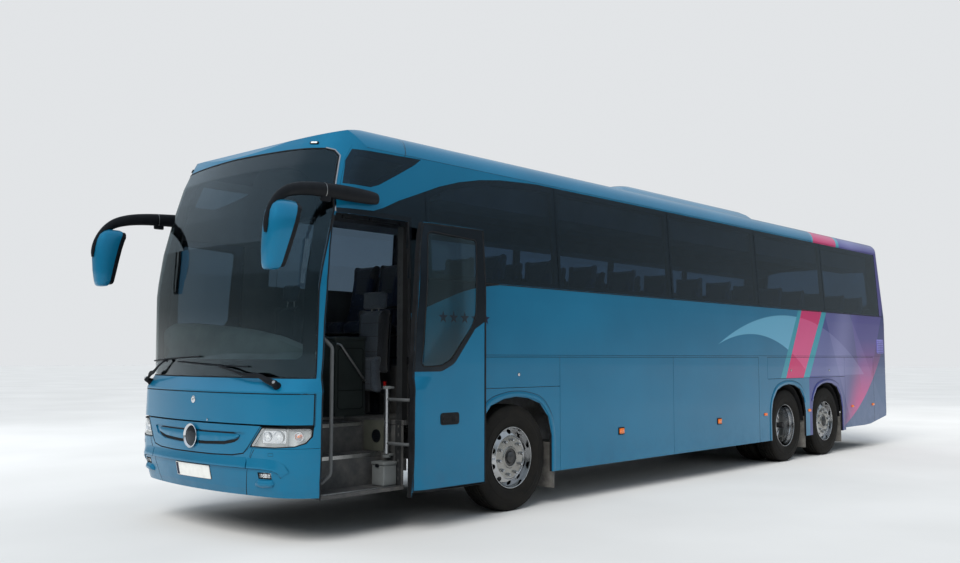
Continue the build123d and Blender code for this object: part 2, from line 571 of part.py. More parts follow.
# window in the leaf (y, z) when shut
GL = [(-2250, 1400), (-1795, 1440), (-1550, 1800), (-1520, 2560), (-2185, 2580)]
leaf = leaf - prism_x(GL, 900, 1400)
leaf = leaf.moved(Location((_dx, LEAF_SHIFT_Y, 0)))
lugs = []
for z in ARM_ZS:
    for dz in (-32, 32):
        lugs.append(box(EYE_X - 14, LEAF_OPEN_X - LEAF_T + 3, EYE_Y - 16, EYE_Y + 16, z + dz - 6, z + dz + 6))
    lugs.append(Pos(EYE_X, EYE_Y, z) * Cylinder(9, 66))
leaf = fuse(leaf, *lugs)
put("passenger_door", leaf)
dg = shell_glass & prism_x([(-1880 + (y + 1880) * 0.985, 2020 + (z - 2020) * 0.985) for y, z in GL], 900, 1400)
put("passenger_door_glass", dg.moved(Location((_dx, LEAF_SHIFT_Y, 0))))

arm = Pos(POST_X, POST_Y, 930) * Cylinder(24, 560)
for z in ARM_ZS:
    path = FilletPolyline((POST_X, POST_Y, z), (1338, POST_Y + 4, z), (EYE_X - 3, EYE_Y, z), radius=70)
    tube = sweep(Plane(origin=(POST_X, POST_Y, z), z_dir=path % 0) * Circle(15), path=path)
    eye = Pos(EYE_X, EYE_Y, z) * Cylinder(20, 50)
    arm = fuse(arm, tube, eye)
for z in ARM_ZS:
    arm = arm - Pos(EYE_X, EYE_Y, z) * Cylinder(9.5, 60)
put("door_swing_arm", arm)

# ---------------------------------------------------------------- mirrors
mir = []
for s in (1, -1):
    root = box(s * 1215, s * 1290, -2190, -1770, 2818, 2885)
    path = FilletPolyline((s * 1262, -2100, 2850), (s * 1318, -2430, 2812), (s * 1340, -2800, 2760), (s * 1345, -2925, 2640), radius=55)
    a = sweep(Plane(origin=(s * 1262, -2100, 2850), z_dir=path % 0) * Circle(38), path=path)
    head = loft([Pos(s * 1345, -2935, 2660) * RectangleRounded(110, 90, 30), Pos(s * 1370, -2950, 2560) * RectangleRounded(230, 150, 60),
                 Pos(s * 1376, -2962, 2330) * RectangleRounded(248, 176, 70), Pos(s * 1372, -2965, 2180) * RectangleRounded(232, 160, 65),
                 Pos(s * 1368, -2963, 2150) * RectangleRounded(190, 120, 50)], ruled=True)
    mir.append(fuse(root - O[0], a - O[0], head))
put("mirrors", *[max(m.solids(), key=lambda q: q.volume) for m in mir])

# ---------------------------------------------------------------- wipers, mudflaps
wip = []
for s in (1, -1):
    P0, P1 = (s * 973, -2668, 1262), (s * 400, -2712, 1392)
    w = Pos(*P0) * Rotation(90, 0, 0) * Cylinder(24, 70)
    w = w + rod((s * 973, -2692, 1262), P1, 11)
    w = w + box(min(s * 780, s * -80), max(s * 780, s * -80), -2712 - 8, -2712 + 8, 1380, 1404) if s > 0 else w + box(-780, 80, -2728, -2712, 1410, 1434) + rod(P1, (P1[0], -2720, 1422), 9)
    wip.append(w)
put("wipers", *wip)
flaps_m = []
for y, xs in ((640, (960, 1235)), (6640 + 42, (640, 1235)), (7430 + 585, (960, 1235))):
    for s in (1, -1):
        flaps_m.append(box(s * xs[0], s * xs[1], y, y + 12, 160, 620))
put("mudflaps", *flaps_m)

# ---------------------------------------------------------------- cab and saloon
dash = prism_x([(-2520, 940), (-2290, 940), (-2230, 1240), (-2180, 1330), (-2330, 1390), (-2560, 1300)], -1150, 380)
dash = dash + prism_x([(-2520, 1050), (-2430, 1050), (-2400, 1240), (-2440, 1290), (-2560, 1290)], 380, 1150)
dash = dash & O[WALL + 0]
put("dashboard", dash)
DR_X = -760
whl = Pos(DR_X, -2060, 1480) * Rotation(-28, 0, 0) * Torus(225, 15)
spk = Pos(DR_X, -2060, 1480) * Rotation(-28, 0, 0) * fuse(Cylinder(60, 34), Box(430, 40, 14), Box(40, 430, 14))
col = rod((DR_X, -2064, 1472), (DR_X, -2230, 1180), 30)
put("steering_wheel", fuse(whl, spk, col) - dash)
ds = fuse(Pos(DR_X, -1450, 1060) * Cylinder(120, 240), box(DR_X - 240, DR_X + 240, -1700, -1210, 1180, 1330), box(DR_X - 230, DR_X + 230, -1290, -1170, 1330, 2050),
          box(DR_X - 130, DR_X + 130, -1270, -1190, 2050, 2230))
put("drivers_seat", ds)
PITCH = 790.0
SEAT_ROWS, ROW_0 = 13, -590.0
SEAT_X0, SEAT_X1 = 285.0, 1165.0
seats = []
for s in (1, -1):
    for i in range(SEAT_ROWS):
        y = ROW_0 + i * PITCH * 0.985
        xa, xb = s * SEAT_X0, s * SEAT_X1
        seats.append(box(xa, xb, y, y + 440, FLOOR_Z + 340, FLOOR_Z + 450))
        back = prism_x([(y + 443, FLOOR_Z + 380), (y + 520, FLOOR_Z + 380), (y + 668, FLOOR_Z + 1135), (y + 590, FLOOR_Z + 1150)], min(xa, xb), max(xa, xb))
        seats.append(back)
        seats.append(box(xa + s * 120, xa + s * 180, y + 100, y + 400, FLOOR_Z + 1, FLOOR_Z + 339))
put("passenger_seats", *seats)
racks = []
for s in (1, -1):
    racks.append(prism_y([(s * 700, 2950), (s * 1130, 2950), (s * 1130, 3190), (s * 1100, 3190), (s * 1100, 2985), (s * 730, 2985), (s * 690, 3090), (s * 670, 3085)],
                         -900, 9500))
put("luggage_racks", *racks)
# entrance rail on the front side of the doorway, console beside the stairs, door column behind them
p = FilletPolyline((1150, -2290, 470), (1180, -2215, 540), (1180, -2215, 1570), (1150, -2295, 1650), radius=60)
entrance_rail = sweep(Plane(origin=(1150, -2290, 470), z_dir=p % 0) * Circle(16), path=p)
console = box(245, 420, -1560, -1200, 941, 1652)
console = console - box(262, 403, -1543, -1217, 900, 1635)
column = box(1122, 1186, -1436, -1376, 941, 2640)
column = column - box(1128, 1180, -1430, -1382, 900, 2700)
put("grab_rails", entrance_rail, console, column)

# front flap last: shares the mask's opening
put("front_flap", front_flap)

# ---------------------------------------------------------------- write
lo, hi = [1e9] * 3, [-1e9] * 3
for name, ss in nodes.items():
    moved = [q.moved(Location((0, -Y_MID, 0))) for q in ss]
    bad = [i for i, q in enumerate(moved) if not q.is_valid]
    if bad or len(moved) > 1:
        print(name, len(moved), 'solids', 'INVALID' if bad else '')
    comp = moved[0] if len(moved) == 1 else Compound(children=moved)
    bb = comp.bounding_box()
    for i, (a, b) in enumerate(zip((bb.min.X, bb.min.Y, bb.min.Z), (bb.max.X, bb.max.Y, bb.max.Z))):
        lo[i], hi[i] = min(lo[i], a), max(hi[i], b)
    export_step(comp, os.path.join("parts", name + ".step"))
print("nodes", len(nodes), "box", [round(v, 1) for v in lo], [round(v, 1) for v in hi])
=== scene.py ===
import bpy, bmesh, math
from mathutils import Vector, Matrix, geometry


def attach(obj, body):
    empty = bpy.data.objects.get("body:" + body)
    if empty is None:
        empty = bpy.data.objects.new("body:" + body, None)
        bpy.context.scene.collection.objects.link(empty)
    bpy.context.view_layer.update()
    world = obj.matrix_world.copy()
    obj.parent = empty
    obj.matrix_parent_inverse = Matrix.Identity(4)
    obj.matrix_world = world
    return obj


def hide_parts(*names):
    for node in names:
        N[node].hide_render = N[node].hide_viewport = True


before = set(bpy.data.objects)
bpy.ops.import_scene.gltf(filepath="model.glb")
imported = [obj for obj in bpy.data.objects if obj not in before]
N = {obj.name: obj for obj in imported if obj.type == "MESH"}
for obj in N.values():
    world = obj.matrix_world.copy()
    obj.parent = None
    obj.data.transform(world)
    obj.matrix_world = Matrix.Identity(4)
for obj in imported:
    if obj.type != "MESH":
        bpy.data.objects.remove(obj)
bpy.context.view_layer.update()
YM = 3.565                          # the front axle is at y = -YM in the shared frame
PI = math.pi

# ---------------------------------------------------------------- camera
cam = bpy.data.cameras.new("camera")
cam.lens, cam.sensor_width, cam.sensor_fit = 36.26, 36.0, "HORIZONTAL"
cam.clip_end = 400
cam_ob = bpy.data.objects.new("camera", cam)
bpy.context.scene.collection.objects.link(cam_ob)
yaw, pitch, roll = -0.7387, 0.0773, 0.0015
fwd = Vector((math.sin(yaw) * math.cos(pitch), math.cos(yaw) * math.cos(pitch), math.sin(pitch)))
rgt = Vector((math.cos(yaw), -math.sin(yaw), 0.0))
upv = rgt.cross(fwd)
r2 = rgt * math.cos(roll) + upv * math.sin(roll)
u2 = upv * math.cos(roll) - rgt * math.sin(roll)
m = Matrix((r2, u2, -fwd)).transposed().to_4x4()
m.translation = Vector((7.4103, -7.2617 - YM, 1.4964))
cam_ob.matrix_world = m
bpy.context.scene.camera = cam_ob

# ---------------------------------------------------------------- body shape, as built
HALF_W, LEAN_Z, GLAZE_Z, GLAZE_X, CANT_Z, CANT_X = 1.275, 2.05, 2.18, 1.2715, 3.28, 1.2
NOSE_R, CORNER_R = 4.5, 0.45
NOSE = [(.300, -2.672), (.430, -2.720), (.560, -2.752), (.720, -2.770), (1.211, -2.757), (1.322, -2.678), (2.050, -2.684),
        (2.180, -2.672), (2.450, -2.635), (2.700, -2.573), (2.900, -2.516), (3.100, -2.454), (3.300, -2.362), (3.640, -2.180)]
PILLAR = [(.300, -2.349), (.500, -2.361), (.850, -2.361), (1.150, -2.357), (1.465, -2.337), (1.790, -2.329), (2.110, -2.309),
          (2.400, -2.277), (2.570, -2.247), (2.725, -2.214), (2.920, -2.160), (3.150, -2.095), (3.278, -2.020)]


def lerp_table(t, z):
    if z <= t[0][0]:
        return t[0][1]
    for (a, b), (c, d) in zip(t, t[1:]):
        if z <= c:
            return b + (d - b) * (z - a) / (c - a)
    return t[-1][1]


def half_width(z):
    if z <= LEAN_Z:
        return HALF_W
    if z <= GLAZE_Z:
        return HALF_W + (GLAZE_X - HALF_W) * (z - LEAN_Z) / (GLAZE_Z - LEAN_Z)
    return GLAZE_X + (CANT_X - GLAZE_X) * (z - GLAZE_Z) / (CANT_Z - GLAZE_Z)


def front_y(x, z):
    yc, hw, R, r = lerp_table(NOSE, z), half_width(z), NOSE_R, CORNER_R
    yb = yc + R - math.sqrt((R - r) ** 2 - (hw - r) ** 2)
    ux, uy = hw - r, yb - (yc + R)
    tx = ux / math.hypot(ux, uy) * R
    ax = min(abs(x), hw - 1e-5)
    if ax <= tx:
        return yc + R - math.sqrt(R * R - ax * ax)
    return yb - math.sqrt(max(0.0, r * r - (ax - (hw - r)) ** 2))


def F(x, z, o=0.0):
    """point on the front face, o outwards"""
    e = 0.004
    y = front_y(x, z)
    dx = (front_y(x + e, z) - front_y(x - e, z)) / (2 * e)
    dz = (front_y(x, z + e) - front_y(x, z - e)) / (2 * e)
    n = Vector((dx, -1.0, dz)).normalized()
    return Vector((x, y - YM, z)) + n * o


def side_map(s):
    """(y from the front axle, z, outwards) on one side"""
    return lambda y, z, o=0.0: Vector((s * (half_width(z) + o), y - YM, z))


def tail_y(z):
    return 10.180 - max(0.0, (z - GLAZE_Z) * 0.10) - max(0.0, (0.560 - z) * 0.22)


def B(x, z, o=0.0):
    """point on the tail, o outwards"""
    hw, R, r, yr = half_width(z), 5.0, 0.170, tail_y(z)
    ye = yr - R + math.sqrt((R - r) ** 2 - (hw - r) ** 2)
    vx, vy = hw - r, ye - (yr - R)
    sx = vx / math.hypot(vx, vy) * R
    ax = min(abs(x), hw - 1e-5)
    if ax <= sx:
        y = yr - R + math.sqrt(R * R - ax * ax)
        n = Vector((x, y - (yr - R), 0)).normalized()
    else:
        y = ye + math.sqrt(max(0.0, r * r - (ax - (hw - r)) ** 2))
        n = Vector(((ax - (hw - r)) * (1 if x > 0 else -1), y - ye, 0)).normalized()
    return Vector((x, y - YM, z)) + n * o


def A(x, y, z):
    """a point given with y from the front axle"""
    return Vector((x, y - YM, z))


# ---------------------------------------------------------------- materials
class Mt:
    """a principled material with its nodes close at hand"""
    KEYS = {"rough": "Roughness", "metal": "Metallic", "spec": "Specular IOR Level", "coat": "Coat Weight", "coat_r": "Coat Roughness",
            "trans": "Transmission Weight", "ior": "IOR", "sheen": "Sheen Weight", "sheen_r": "Sheen Roughness", "alpha": "Alpha",
            "emit": "Emission Strength", "aniso": "Anisotropic", "subs": "Subsurface Weight"}

    def __init__(self, name, base, **kw):
        self.m = bpy.data.materials.new(name)
        self.m.use_nodes = True
        self.nt = self.m.node_tree
        self.nt.nodes.clear()
        out = self.nt.nodes.new("ShaderNodeOutputMaterial")
        self.b = self.nt.nodes.new("ShaderNodeBsdfPrincipled")
        self.nt.links.new(self.b.outputs[0], out.inputs[0])
        self.b.inputs["Base Color"].default_value = (*base, 1)
        if "emit_c" in kw:
            self.b.inputs["Emission Color"].default_value = (*kw.pop("emit_c"), 1)
        for k, v in kw.items():
            self.b.inputs[self.KEYS[k]].default_value = v
        self._p = None

    def node(self, kind, **props):
        n = self.nt.nodes.new(kind)
        for k, v in props.items():
            setattr(n, k, v)
        return n

    def put(self, sock, v):
        if isinstance(v, bpy.types.NodeSocket):
            self.nt.links.new(v, sock)
        elif isinstance(v, (tuple, list)) and len(v) == 3 and sock.type == "RGBA":
            sock.default_value = (*v, 1)
        else:
            sock.default_value = v

    def math(self, op, a, b=0.0, c=0.0, clamp=False):
        n = self.node("ShaderNodeMath", operation=op, use_clamp=clamp)
        for s_, v in zip(n.inputs, (a, b, c)):
            self.put(s_, v)
        return n.outputs[0]

    def pos(self):
        if self._p is None:
            t = self.node("ShaderNodeTexCoord").outputs["Object"]
            s = self.node("ShaderNodeSeparateXYZ")
            self.nt.links.new(t, s.inputs[0])
            self._p = (s.outputs[0], s.outputs[1], s.outputs[2], t)
        return self._p

    def scaled(self, sx, sy, sz):
        mp = self.node("ShaderNodeMapping")
        self.nt.links.new(self.pos()[3], mp.inputs["Vector"])
        mp.inputs["Scale"].default_value = (sx, sy, sz)
        return mp.outputs[0]

    def noise(self, scale, detail=3.0, rough=0.5, vec=None):
        n = self.node("ShaderNodeTexNoise")
        n.inputs["Scale"].default_value = scale
        n.inputs["Detail"].default_value = detail
        n.inputs["Roughness"].default_value = rough
        self.nt.links.new(vec or self.pos()[3], n.inputs["Vector"])
        return n.outputs["Fac"]

    def voronoi(self, scale, feature="F1", out="Distance", vec=None):
        n = self.node("ShaderNodeTexVoronoi", feature=feature)
        n.inputs["Scale"].default_value = scale
        self.nt.links.new(vec or self.pos()[3], n.inputs["Vector"])
        return n.outputs[out]

    def wave(self, scale, axis="X", dist=0.0, vec=None, profile="SIN"):
        n = self.node("ShaderNodeTexWave", bands_direction=axis, wave_profile=profile)
        n.inputs["Scale"].default_value = scale
        n.inputs["Distortion"].default_value = dist
        self.nt.links.new(vec or self.pos()[3], n.inputs["Vector"])
        return n.outputs["Fac"]

    def map(self, v, a, b, c=0.0, d=1.0, smooth=False):
        n = self.node("ShaderNodeMapRange", clamp=True, interpolation_type="SMOOTHSTEP" if smooth else "LINEAR")
        self.put(n.inputs["Value"], v)
        for k, w in (("From Min", a), ("From Max", b), ("To Min", c), ("To Max", d)):
            n.inputs[k].default_value = w
        return n.outputs["Result"]

    def mix(self, f, a, b, blend="MIX"):
        n = self.node("ShaderNodeMix", data_type="RGBA", blend_type=blend)
        self.put(n.inputs[0], f)
        self.put(n.inputs[6], a)
        self.put(n.inputs[7], b)
        return n.outputs[2]

    def colour(self, c):
        self.put(self.b.inputs["Base Color"], c)
        return self

    def rough(self, v):
        self.put(self.b.inputs["Roughness"], v)
        return self

    def bump(self, h, strength=0.3, dist=0.002, normal=None):
        n = self.node("ShaderNodeBump")
        n.inputs["Strength"].default_value = strength
        n.inputs["Distance"].default_value = dist
        self.nt.links.new(h, n.inputs["Height"])
        if normal:
            self.nt.links.new(normal, n.inputs["Normal"])
        self.nt.links.new(n.outputs[0], self.b.inputs["Normal"])
        return n.outputs[0]


def circle3(p, q, r):
    """centre and radius of the circle through three (y, z) points"""
    ax, ay = q[0] - p[0], q[1] - p[1]
    bx, by = r[0] - p[0], r[1] - p[1]
    d = 2 * (ax * by - ay * bx)
    ux = (by * (ax * ax + ay * ay) - ay * (bx * bx + by * by)) / d
    uy = (ax * (bx * bx + by * by) - bx * (ax * ax + ay * ay)) / d
    return p[0] + ux, p[1] + uy, math.hypot(ux, uy)


BLUE = (0.0022, 0.142, 0.268)
BLUE_LIT = (0.0035, 0.168, 0.312)


def paint(name, livery=True):
    """clear-coated metallic blue; behind the rear bays the side carries a crescent, a slanted stripe and a purple tail"""
    t = Mt(name, BLUE, metal=0.45, rough=0.34, spec=0.32, coat=0.70, coat_r=0.03, ior=1.40)
    t.b.inputs["Coat IOR"].default_value = 1.34
    x, y, z, vec = t.pos()
    cloud = t.noise(0.9, 3, 0.55)
    col = t.mix(t.map(cloud, 0.35, 0.7), BLUE, BLUE_LIT)
    if livery:
        ya = t.math("ADD", y, YM)                     # y from the front axle

        def line(y0, z0, k, soft=260.0):
            """1 behind the slanted line through (y0, z0) that leans k back for each metre up"""
            v = t.math("SUBTRACT", t.math("SUBTRACT", ya, y0 - k * z0), t.math("MULTIPLY", z, k))
            return t.math("MULTIPLY_ADD", v, soft, 0.5, clamp=True)

        def inside(c, soft=200.0):
            dy = t.math("SUBTRACT", ya, c[0])
            dz = t.math("SUBTRACT", z, c[1])
            r = t.math("SQRT", t.math("ADD", t.math("MULTIPLY", dy, dy), t.math("MULTIPLY", dz, dz)))
            return t.math("MULTIPLY_ADD", t.math("SUBTRACT", c[2], r), soft, 0.5, clamp=True)

        inv = lambda v: t.math("SUBTRACT", 1.0, v)
        low = t.math("MULTIPLY_ADD", t.math("SUBTRACT", z, 1.19), 300.0, 0.5, clamp=True)      # 1 above the wheel-arch flap's foot
        crescent = t.math("MULTIPLY", inside(circle3((4.042, 1.658), (5.373, 2.041), (6.30, 2.088))),
                          inv(inside(circle3((4.042, 1.658), (5.047, 1.805), (6.77, 1.23)))))
        crescent = t.math("MULTIPLY", crescent, t.math("MULTIPLY_ADD", t.math("SUBTRACT", z, 1.21), 300.0, 0.5, clamp=True))
        tail_low = line(6.78, 0.7, 0.0)
        e1, e2 = line(6.019, 1.217, 0.58), line(6.599, 1.208, 0.72)
        t1, t2 = line(5.849, 1.219, 0.636), line(6.809, 1.205, 0.675)
        e1, e2, t1, t2 = [t.math("MULTIPLY", v, low) for v in (e1, e2, t1, t2)]
        tail = t.math("MAXIMUM", t2, t.math("MULTIPLY", inv(low), tail_low))
        # the tail's own colour: lilac near the stripe, indigo behind, steel blue at the corner
        yz = t.math("MULTIPLY_ADD", z, -0.42, ya)
        streak = t.math("MULTIPLY", t.map(yz, 6.75, 7.30, 0, 1, True), t.map(yz, 7.30, 7.95, 1, 0, True))
        tcol = t.mix(t.map(yz, 6.3, 8.1), (0.034, 0.049, 0.238), (0.018, 0.028, 0.158))
        tcol = t.mix(t.math("MULTIPLY", streak, 0.28), tcol, (0.34, 0.35, 0.62))
        wedge = t.math("MULTIPLY", line(7.55, 1.9, -0.55), inv(line(8.65, 1.9, -0.9)))
        tcol = t.mix(t.math("MULTIPLY", wedge, 0.15), tcol, (0.42, 0.36, 0.66))
        wedge2 = t.math("MULTIPLY", line(8.72, 1.3, -0.30), inv(line(9.30, 1.3, 0.55)))
        tcol = t.mix(t.math("MULTIPLY", wedge2, 0.35), tcol, (0.16, 0.10, 0.42))
        steel = t.math("MULTIPLY", inv(inside(circle3((9.856, 1.705), (9.2, 1.03), (8.12, 0.428)), 14.0)), t.map(z, 1.9, 0.9, 0, 1, True))
        tcol = t.mix(t.math("MULTIPLY", t.math("MULTIPLY", steel, line(8.2, 0.5, 0.6, 6.0)), 0.75), tcol, (0.030, 0.105, 0.225))
        sweep = t.math("MULTIPLY", inside(circle3((9.856, 1.705), (9.2, 1.03), (8.12, 0.428))), t.map(yz, 7.75, 8.45, 0, 1, True))
        sweep = t.math("MULTIPLY", sweep, t.map(z, 1.75, 0.62, 0.05, 0.92, True))
        tcol = t.mix(t.math("MULTIPLY", sweep, t.math("MULTIPLY", t.map(ya, 7.9, 8.05), t.map(z, 1.80, 1.70))), tcol, (0.62, 0.045, 0.235))
        pink = t.mix(crescent, (0.62, 0.011, 0.140), (0.70, 0.072, 0.240))
        col = t.mix(crescent, col, (0.125, 0.405, 0.585))
        col = t.mix(t1, col, (0.018, 0.285, 0.375))
        col = t.mix(e1, col, pink)
        col = t.mix(e2, col, (0.024, 0.330, 0.420))
        tcol = t.mix(t.math("MULTIPLY", crescent, 0.20), tcol, (0.40, 0.42, 0.72))
        col = t.mix(tail, col, tcol)
        # seam of the roof cap
        seam = t.math("ABSOLUTE", t.math("ADD", ya, t.math("MULTIPLY_ADD", z, -0.347, 2.572)))
        seam = t.math("MULTIPLY", t.math("MULTIPLY_ADD", t.math("SUBTRACT", 0.0035, seam), 500.0, 0.5, clamp=True), t.math("GREATER_THAN", z, 3.262))
        col = t.mix(seam, col, (0.004, 0.012, 0.020))
    # road dust low down
    dust = t.math("MULTIPLY", t.map(z, 0.95, 0.30, 0, 1, True), t.map(t.noise(7.0, 5, 0.65), 0.35, 0.75))
    col = t.mix(t.math("MULTIPLY", dust, 0.10), col, (0.10, 0.12, 0.12))
    t.colour(col)
    t.rough(t.math("MULTIPLY_ADD", dust, 0.22, 0.33))
    flake = t.noise(900.0, 1, 0.5)
    peel = t.noise(55.0, 2, 0.5)
    t.bump(t.math("MULTIPLY_ADD", peel, 1.0, t.math("MULTIPLY", flake, 0.25)), 0.035, 0.001)
    return t.m


def plastic(name, base, rough=0.55, grain=420.0, amount=0.25, spec=0.45, vary=0.25):
    t = Mt(name, base, rough=rough, spec=spec)
    n = t.noise(3.0, 4, 0.6)
    t.colour(t.mix(t.map(n, 0.3, 0.75), tuple(c * (1 - vary) for c in base), tuple(min(1, c * (1 + vary)) for c in base)))
    g = t.voronoi(grain)
    t.bump(g, amount, 0.0006)
    t.rough(t.map(t.noise(11.0, 3, 0.6), 0.3, 0.7, rough - 0.08, rough + 0.10))
    return t.m


def metal(name, base, rough=0.25, brushed=None, scratch=0.12, dirt=0.0):
    t = Mt(name, base, metal=1.0, rough=rough)
    n = t.noise(6.0, 4, 0.65)
    c = t.mix(t.map(n, 0.35, 0.75), base, tuple(v * 0.78 for v in base))
    if dirt:
        c = t.mix(t.math("MULTIPLY", t.map(t.noise(14.0, 5, 0.7), 0.45, 0.75), dirt), c, (0.09, 0.08, 0.07))
    t.colour(c)
    if brushed:
        vec = t.scaled(*brushed)
        b = t.noise(60.0, 2, 0.6, vec)
        t.bump(b, scratch, 0.0006)
    else:
        t.bump(t.noise(180.0, 2, 0.5), scratch * 0.4, 0.0004)
    t.rough(t.map(n, 0.3, 0.75, rough * 0.8, min(1.0, rough * 1.4)))
    return t.m


def glass(name, base, rough=0.0, ior=1.48, film=0.0):
    t = Mt(name, base, rough=rough, trans=1.0, ior=ior, spec=0.36)
    t.b.inputs["Specular Tint"].default_value = (0.58, 0.84, 1.0, 1)
    if film:
        t.colour(t.mix(t.map(t.noise(1.7, 4, 0.6), 0.35, 0.8), base, tuple(c * (1 - film) for c in base)))
    t.bump(t.noise(1.3, 2, 0.5), 0.012, 0.004)
    return t.m


def rubber(name, base=(0.0075, 0.0080, 0.0090), rough=0.62):
    t = Mt(name, base, rough=rough, spec=0.18)
    n = t.noise(9.0, 5, 0.65)
    t.colour(t.mix(t.map(n, 0.4, 0.8), base, tuple(c * 2.0 + 0.002 for c in base)))
    t.bump(t.noise(260.0, 3, 0.6), 0.18, 0.0006)
    return t.m


def tyre_mat():
    """dark rubber, blotchy in tone, with a fine bumpy grain"""
    t = Mt("tyre_rubber", (0.012, 0.011, 0.010), rough=0.72, spec=0.14)
    n = t.noise(7.0, 5, 0.7)
    c = t.mix(t.map(n, 0.35, 0.8), (0.0070, 0.0066, 0.0060), (0.0210, 0.0188, 0.0160))
    t.colour(c)
    t.rough(t.map(n, 0.3, 0.8, 0.62, 0.88))
    t.bump(t.noise(140.0, 4, 0.65), 0.25, 0.0010)
    return t.m


def cloth(name, a, b, weave=700.0, spots=None):
    t = Mt(name, a, rough=0.88, spec=0.25, sheen=0.35, sheen_r=0.5)
    w1, w2 = t.wave(weave / 6.28, "X"), t.wave(weave / 6.28, "Z")
    c = t.mix(t.map(t.noise(120.0, 2, 0.6), 0.35, 0.7), a, b)
    if spots:
        v = t.voronoi(16.0, "F1", "Distance")
        c = t.mix(t.map(v, 0.20, 0.17), c, spots)
    t.colour(c)
    t.bump(t.math("ADD", w1, w2), 0.35, 0.0008)
    return t.m


M_PAINT = paint("body_paint")
M_BLACKGLOSS = Mt("black_gloss", (0.004, 0.005, 0.007), rough=0.12, spec=0.32, coat=0.10, coat_r=0.03)
M_BLACKGLOSS.b.inputs["Specular Tint"].default_value = (0.55, 0.80, 1.0, 1)
M_BLACKGLOSS.bump(M_BLACKGLOSS.noise(2.0, 2, 0.5), 0.02, 0.003)
M_BLACKGLOSS.rough(M_BLACKGLOSS.map(M_BLACKGLOSS.noise(5.0, 4, 0.6), 0.3, 0.8, 0.07, 0.20))
M_BLACKGLOSS = M_BLACKGLOSS.m
M_BLACK = plastic("black_plastic", (0.0055, 0.0065, 0.0085), 0.50, spec=0.17)
M_SOOT = plastic("dark_inner", (0.010, 0.010, 0.011), 0.85, 60.0, 0.15)
M_TRIM = plastic("cab_grey_plastic", (0.075, 0.080, 0.083), 0.55, 420.0, 0.06)
M_TRIM_L = plastic("cab_light_plastic", (0.27, 0.28, 0.27), 0.50)
M_LINING = plastic("saloon_lining", (0.11, 0.115, 0.12), 0.80, 300.0, 0.35)
M_RUBBER = rubber("black_rubber")
M_TYRE = tyre_mat()
M_ALLOY = metal("polished_alloy", (0.50, 0.505, 0.51), 0.13, dirt=0.12)
M_ALLOY_D = metal("satin_alloy", (0.56, 0.56, 0.55), 0.30, dirt=0.35)
M_CHROME = metal("chrome_plate", (0.86, 0.87, 0.88), 0.05, scratch=0.05)
M_STEEL = metal("brushed_rail", (0.50, 0.51, 0.52), 0.32, brushed=(1, 1, 0.02))
M_CHASSIS = plastic("chassis_black", (0.022, 0.022, 0.023), 0.68, 90.0, 0.35, vary=0.5)
M_GALV = metal("bay_aluminium", (0.42, 0.43, 0.44), 0.42, brushed=(1, 0.03, 1), dirt=0.3)
M_GLASS_SIDE = glass("tinted_glass", (0.22, 0.31, 0.42), film=0.1)
M_GLASS_FRONT = glass("windscreen_glass", (0.40, 0.47, 0.49), film=0.12)
M_GLASS_DOOR = glass("door_glass", (0.66, 0.76, 0.75), film=0.1)
M_GLASS_LAMP = Mt("lamp_cover", (0.80, 0.84, 0.86), rough=0.03, alpha=0.13, spec=0.8)
M_GLASS_LAMP.bump(M_GLASS_LAMP.noise(2.0, 2, 0.5), 0.02, 0.003)
M_GLASS_LAMP = M_GLASS_LAMP.m
M_ORANGE = Mt("orange_lens", (0.85, 0.16, 0.01), rough=0.14, coat=0.6, subs=0.15)
M_ORANGE.bump(M_ORANGE.wave(60.0, "Y"), 0.35, 0.001)
M_ORANGE.colour(M_ORANGE.mix(M_ORANGE.map(M_ORANGE.wave(60.0, "Y"), 0, 1), (0.70, 0.10, 0.006), (0.95, 0.24, 0.02)))
M_ORANGE = M_ORANGE.m
M_RED = Mt("red_lens", (0.42, 0.006, 0.006), rough=0.12, coat=0.7)
M_RED.bump(M_RED.wave(55.0, "Z"), 0.3, 0.001)
M_RED.colour(M_RED.mix(M_RED.map(M_RED.wave(55.0, "Z"), 0, 1), (0.34, 0.004, 0.004), (0.62, 0.015, 0.012)))
M_RED = M_RED.m
M_WHITE_LENS = Mt("white_lens", (0.82, 0.84, 0.84), rough=0.15, coat=0.5)
M_WHITE_LENS.bump(M_WHITE_LENS.wave(50.0, "X"), 0.3, 0.001)
M_WHITE_LENS.colour(M_WHITE_LENS.mix(M_WHITE_LENS.map(M_WHITE_LENS.wave(50.0, "X"), 0, 1), (0.66, 0.68, 0.69), (0.90, 0.91, 0.91)))
M_WHITE_LENS = M_WHITE_LENS.m
M_MIRROR = metal("mirror_glass", (0.88, 0.90, 0.91), 0.02, scratch=0.02)
M_PLATE = Mt("plate_face", (0.80, 0.80, 0.76), rough=0.35, coat=0.3)
M_PLATE.colour(M_PLATE.mix(M_PLATE.map(M_PLATE.noise(16.0, 4, 0.6), 0.35, 0.8), (0.82, 0.82, 0.78), (0.70, 0.70, 0.66)))
M_PLATE.bump(M_PLATE.voronoi(260.0), 0.12, 0.0004)
M_PLATE = M_PLATE.m
M_SEAT = cloth("seat_cloth", (0.030, 0.040, 0.075), (0.055, 0.070, 0.120), spots=(0.11, 0.13, 0.22))
M_SEAT_L = cloth("seat_head_cloth", (0.075, 0.080, 0.095), (0.12, 0.125, 0.14))
M_DRIVER = cloth("driver_seat_cloth", (0.065, 0.080, 0.100), (0.10, 0.120, 0.145))
M_DRIVER_D = cloth("driver_seat_side", (0.020, 0.022, 0.026), (0.040, 0.044, 0.050))
M_NAVY = Mt("navy_film", (0.004, 0.007, 0.032), rough=0.4, spec=0.2)
M_NAVY.colour(M_NAVY.mix(M_NAVY.map(M_NAVY.noise(8.0, 3, 0.6), 0.3, 0.8), (0.003, 0.006, 0.030), (0.006, 0.010, 0.042)))
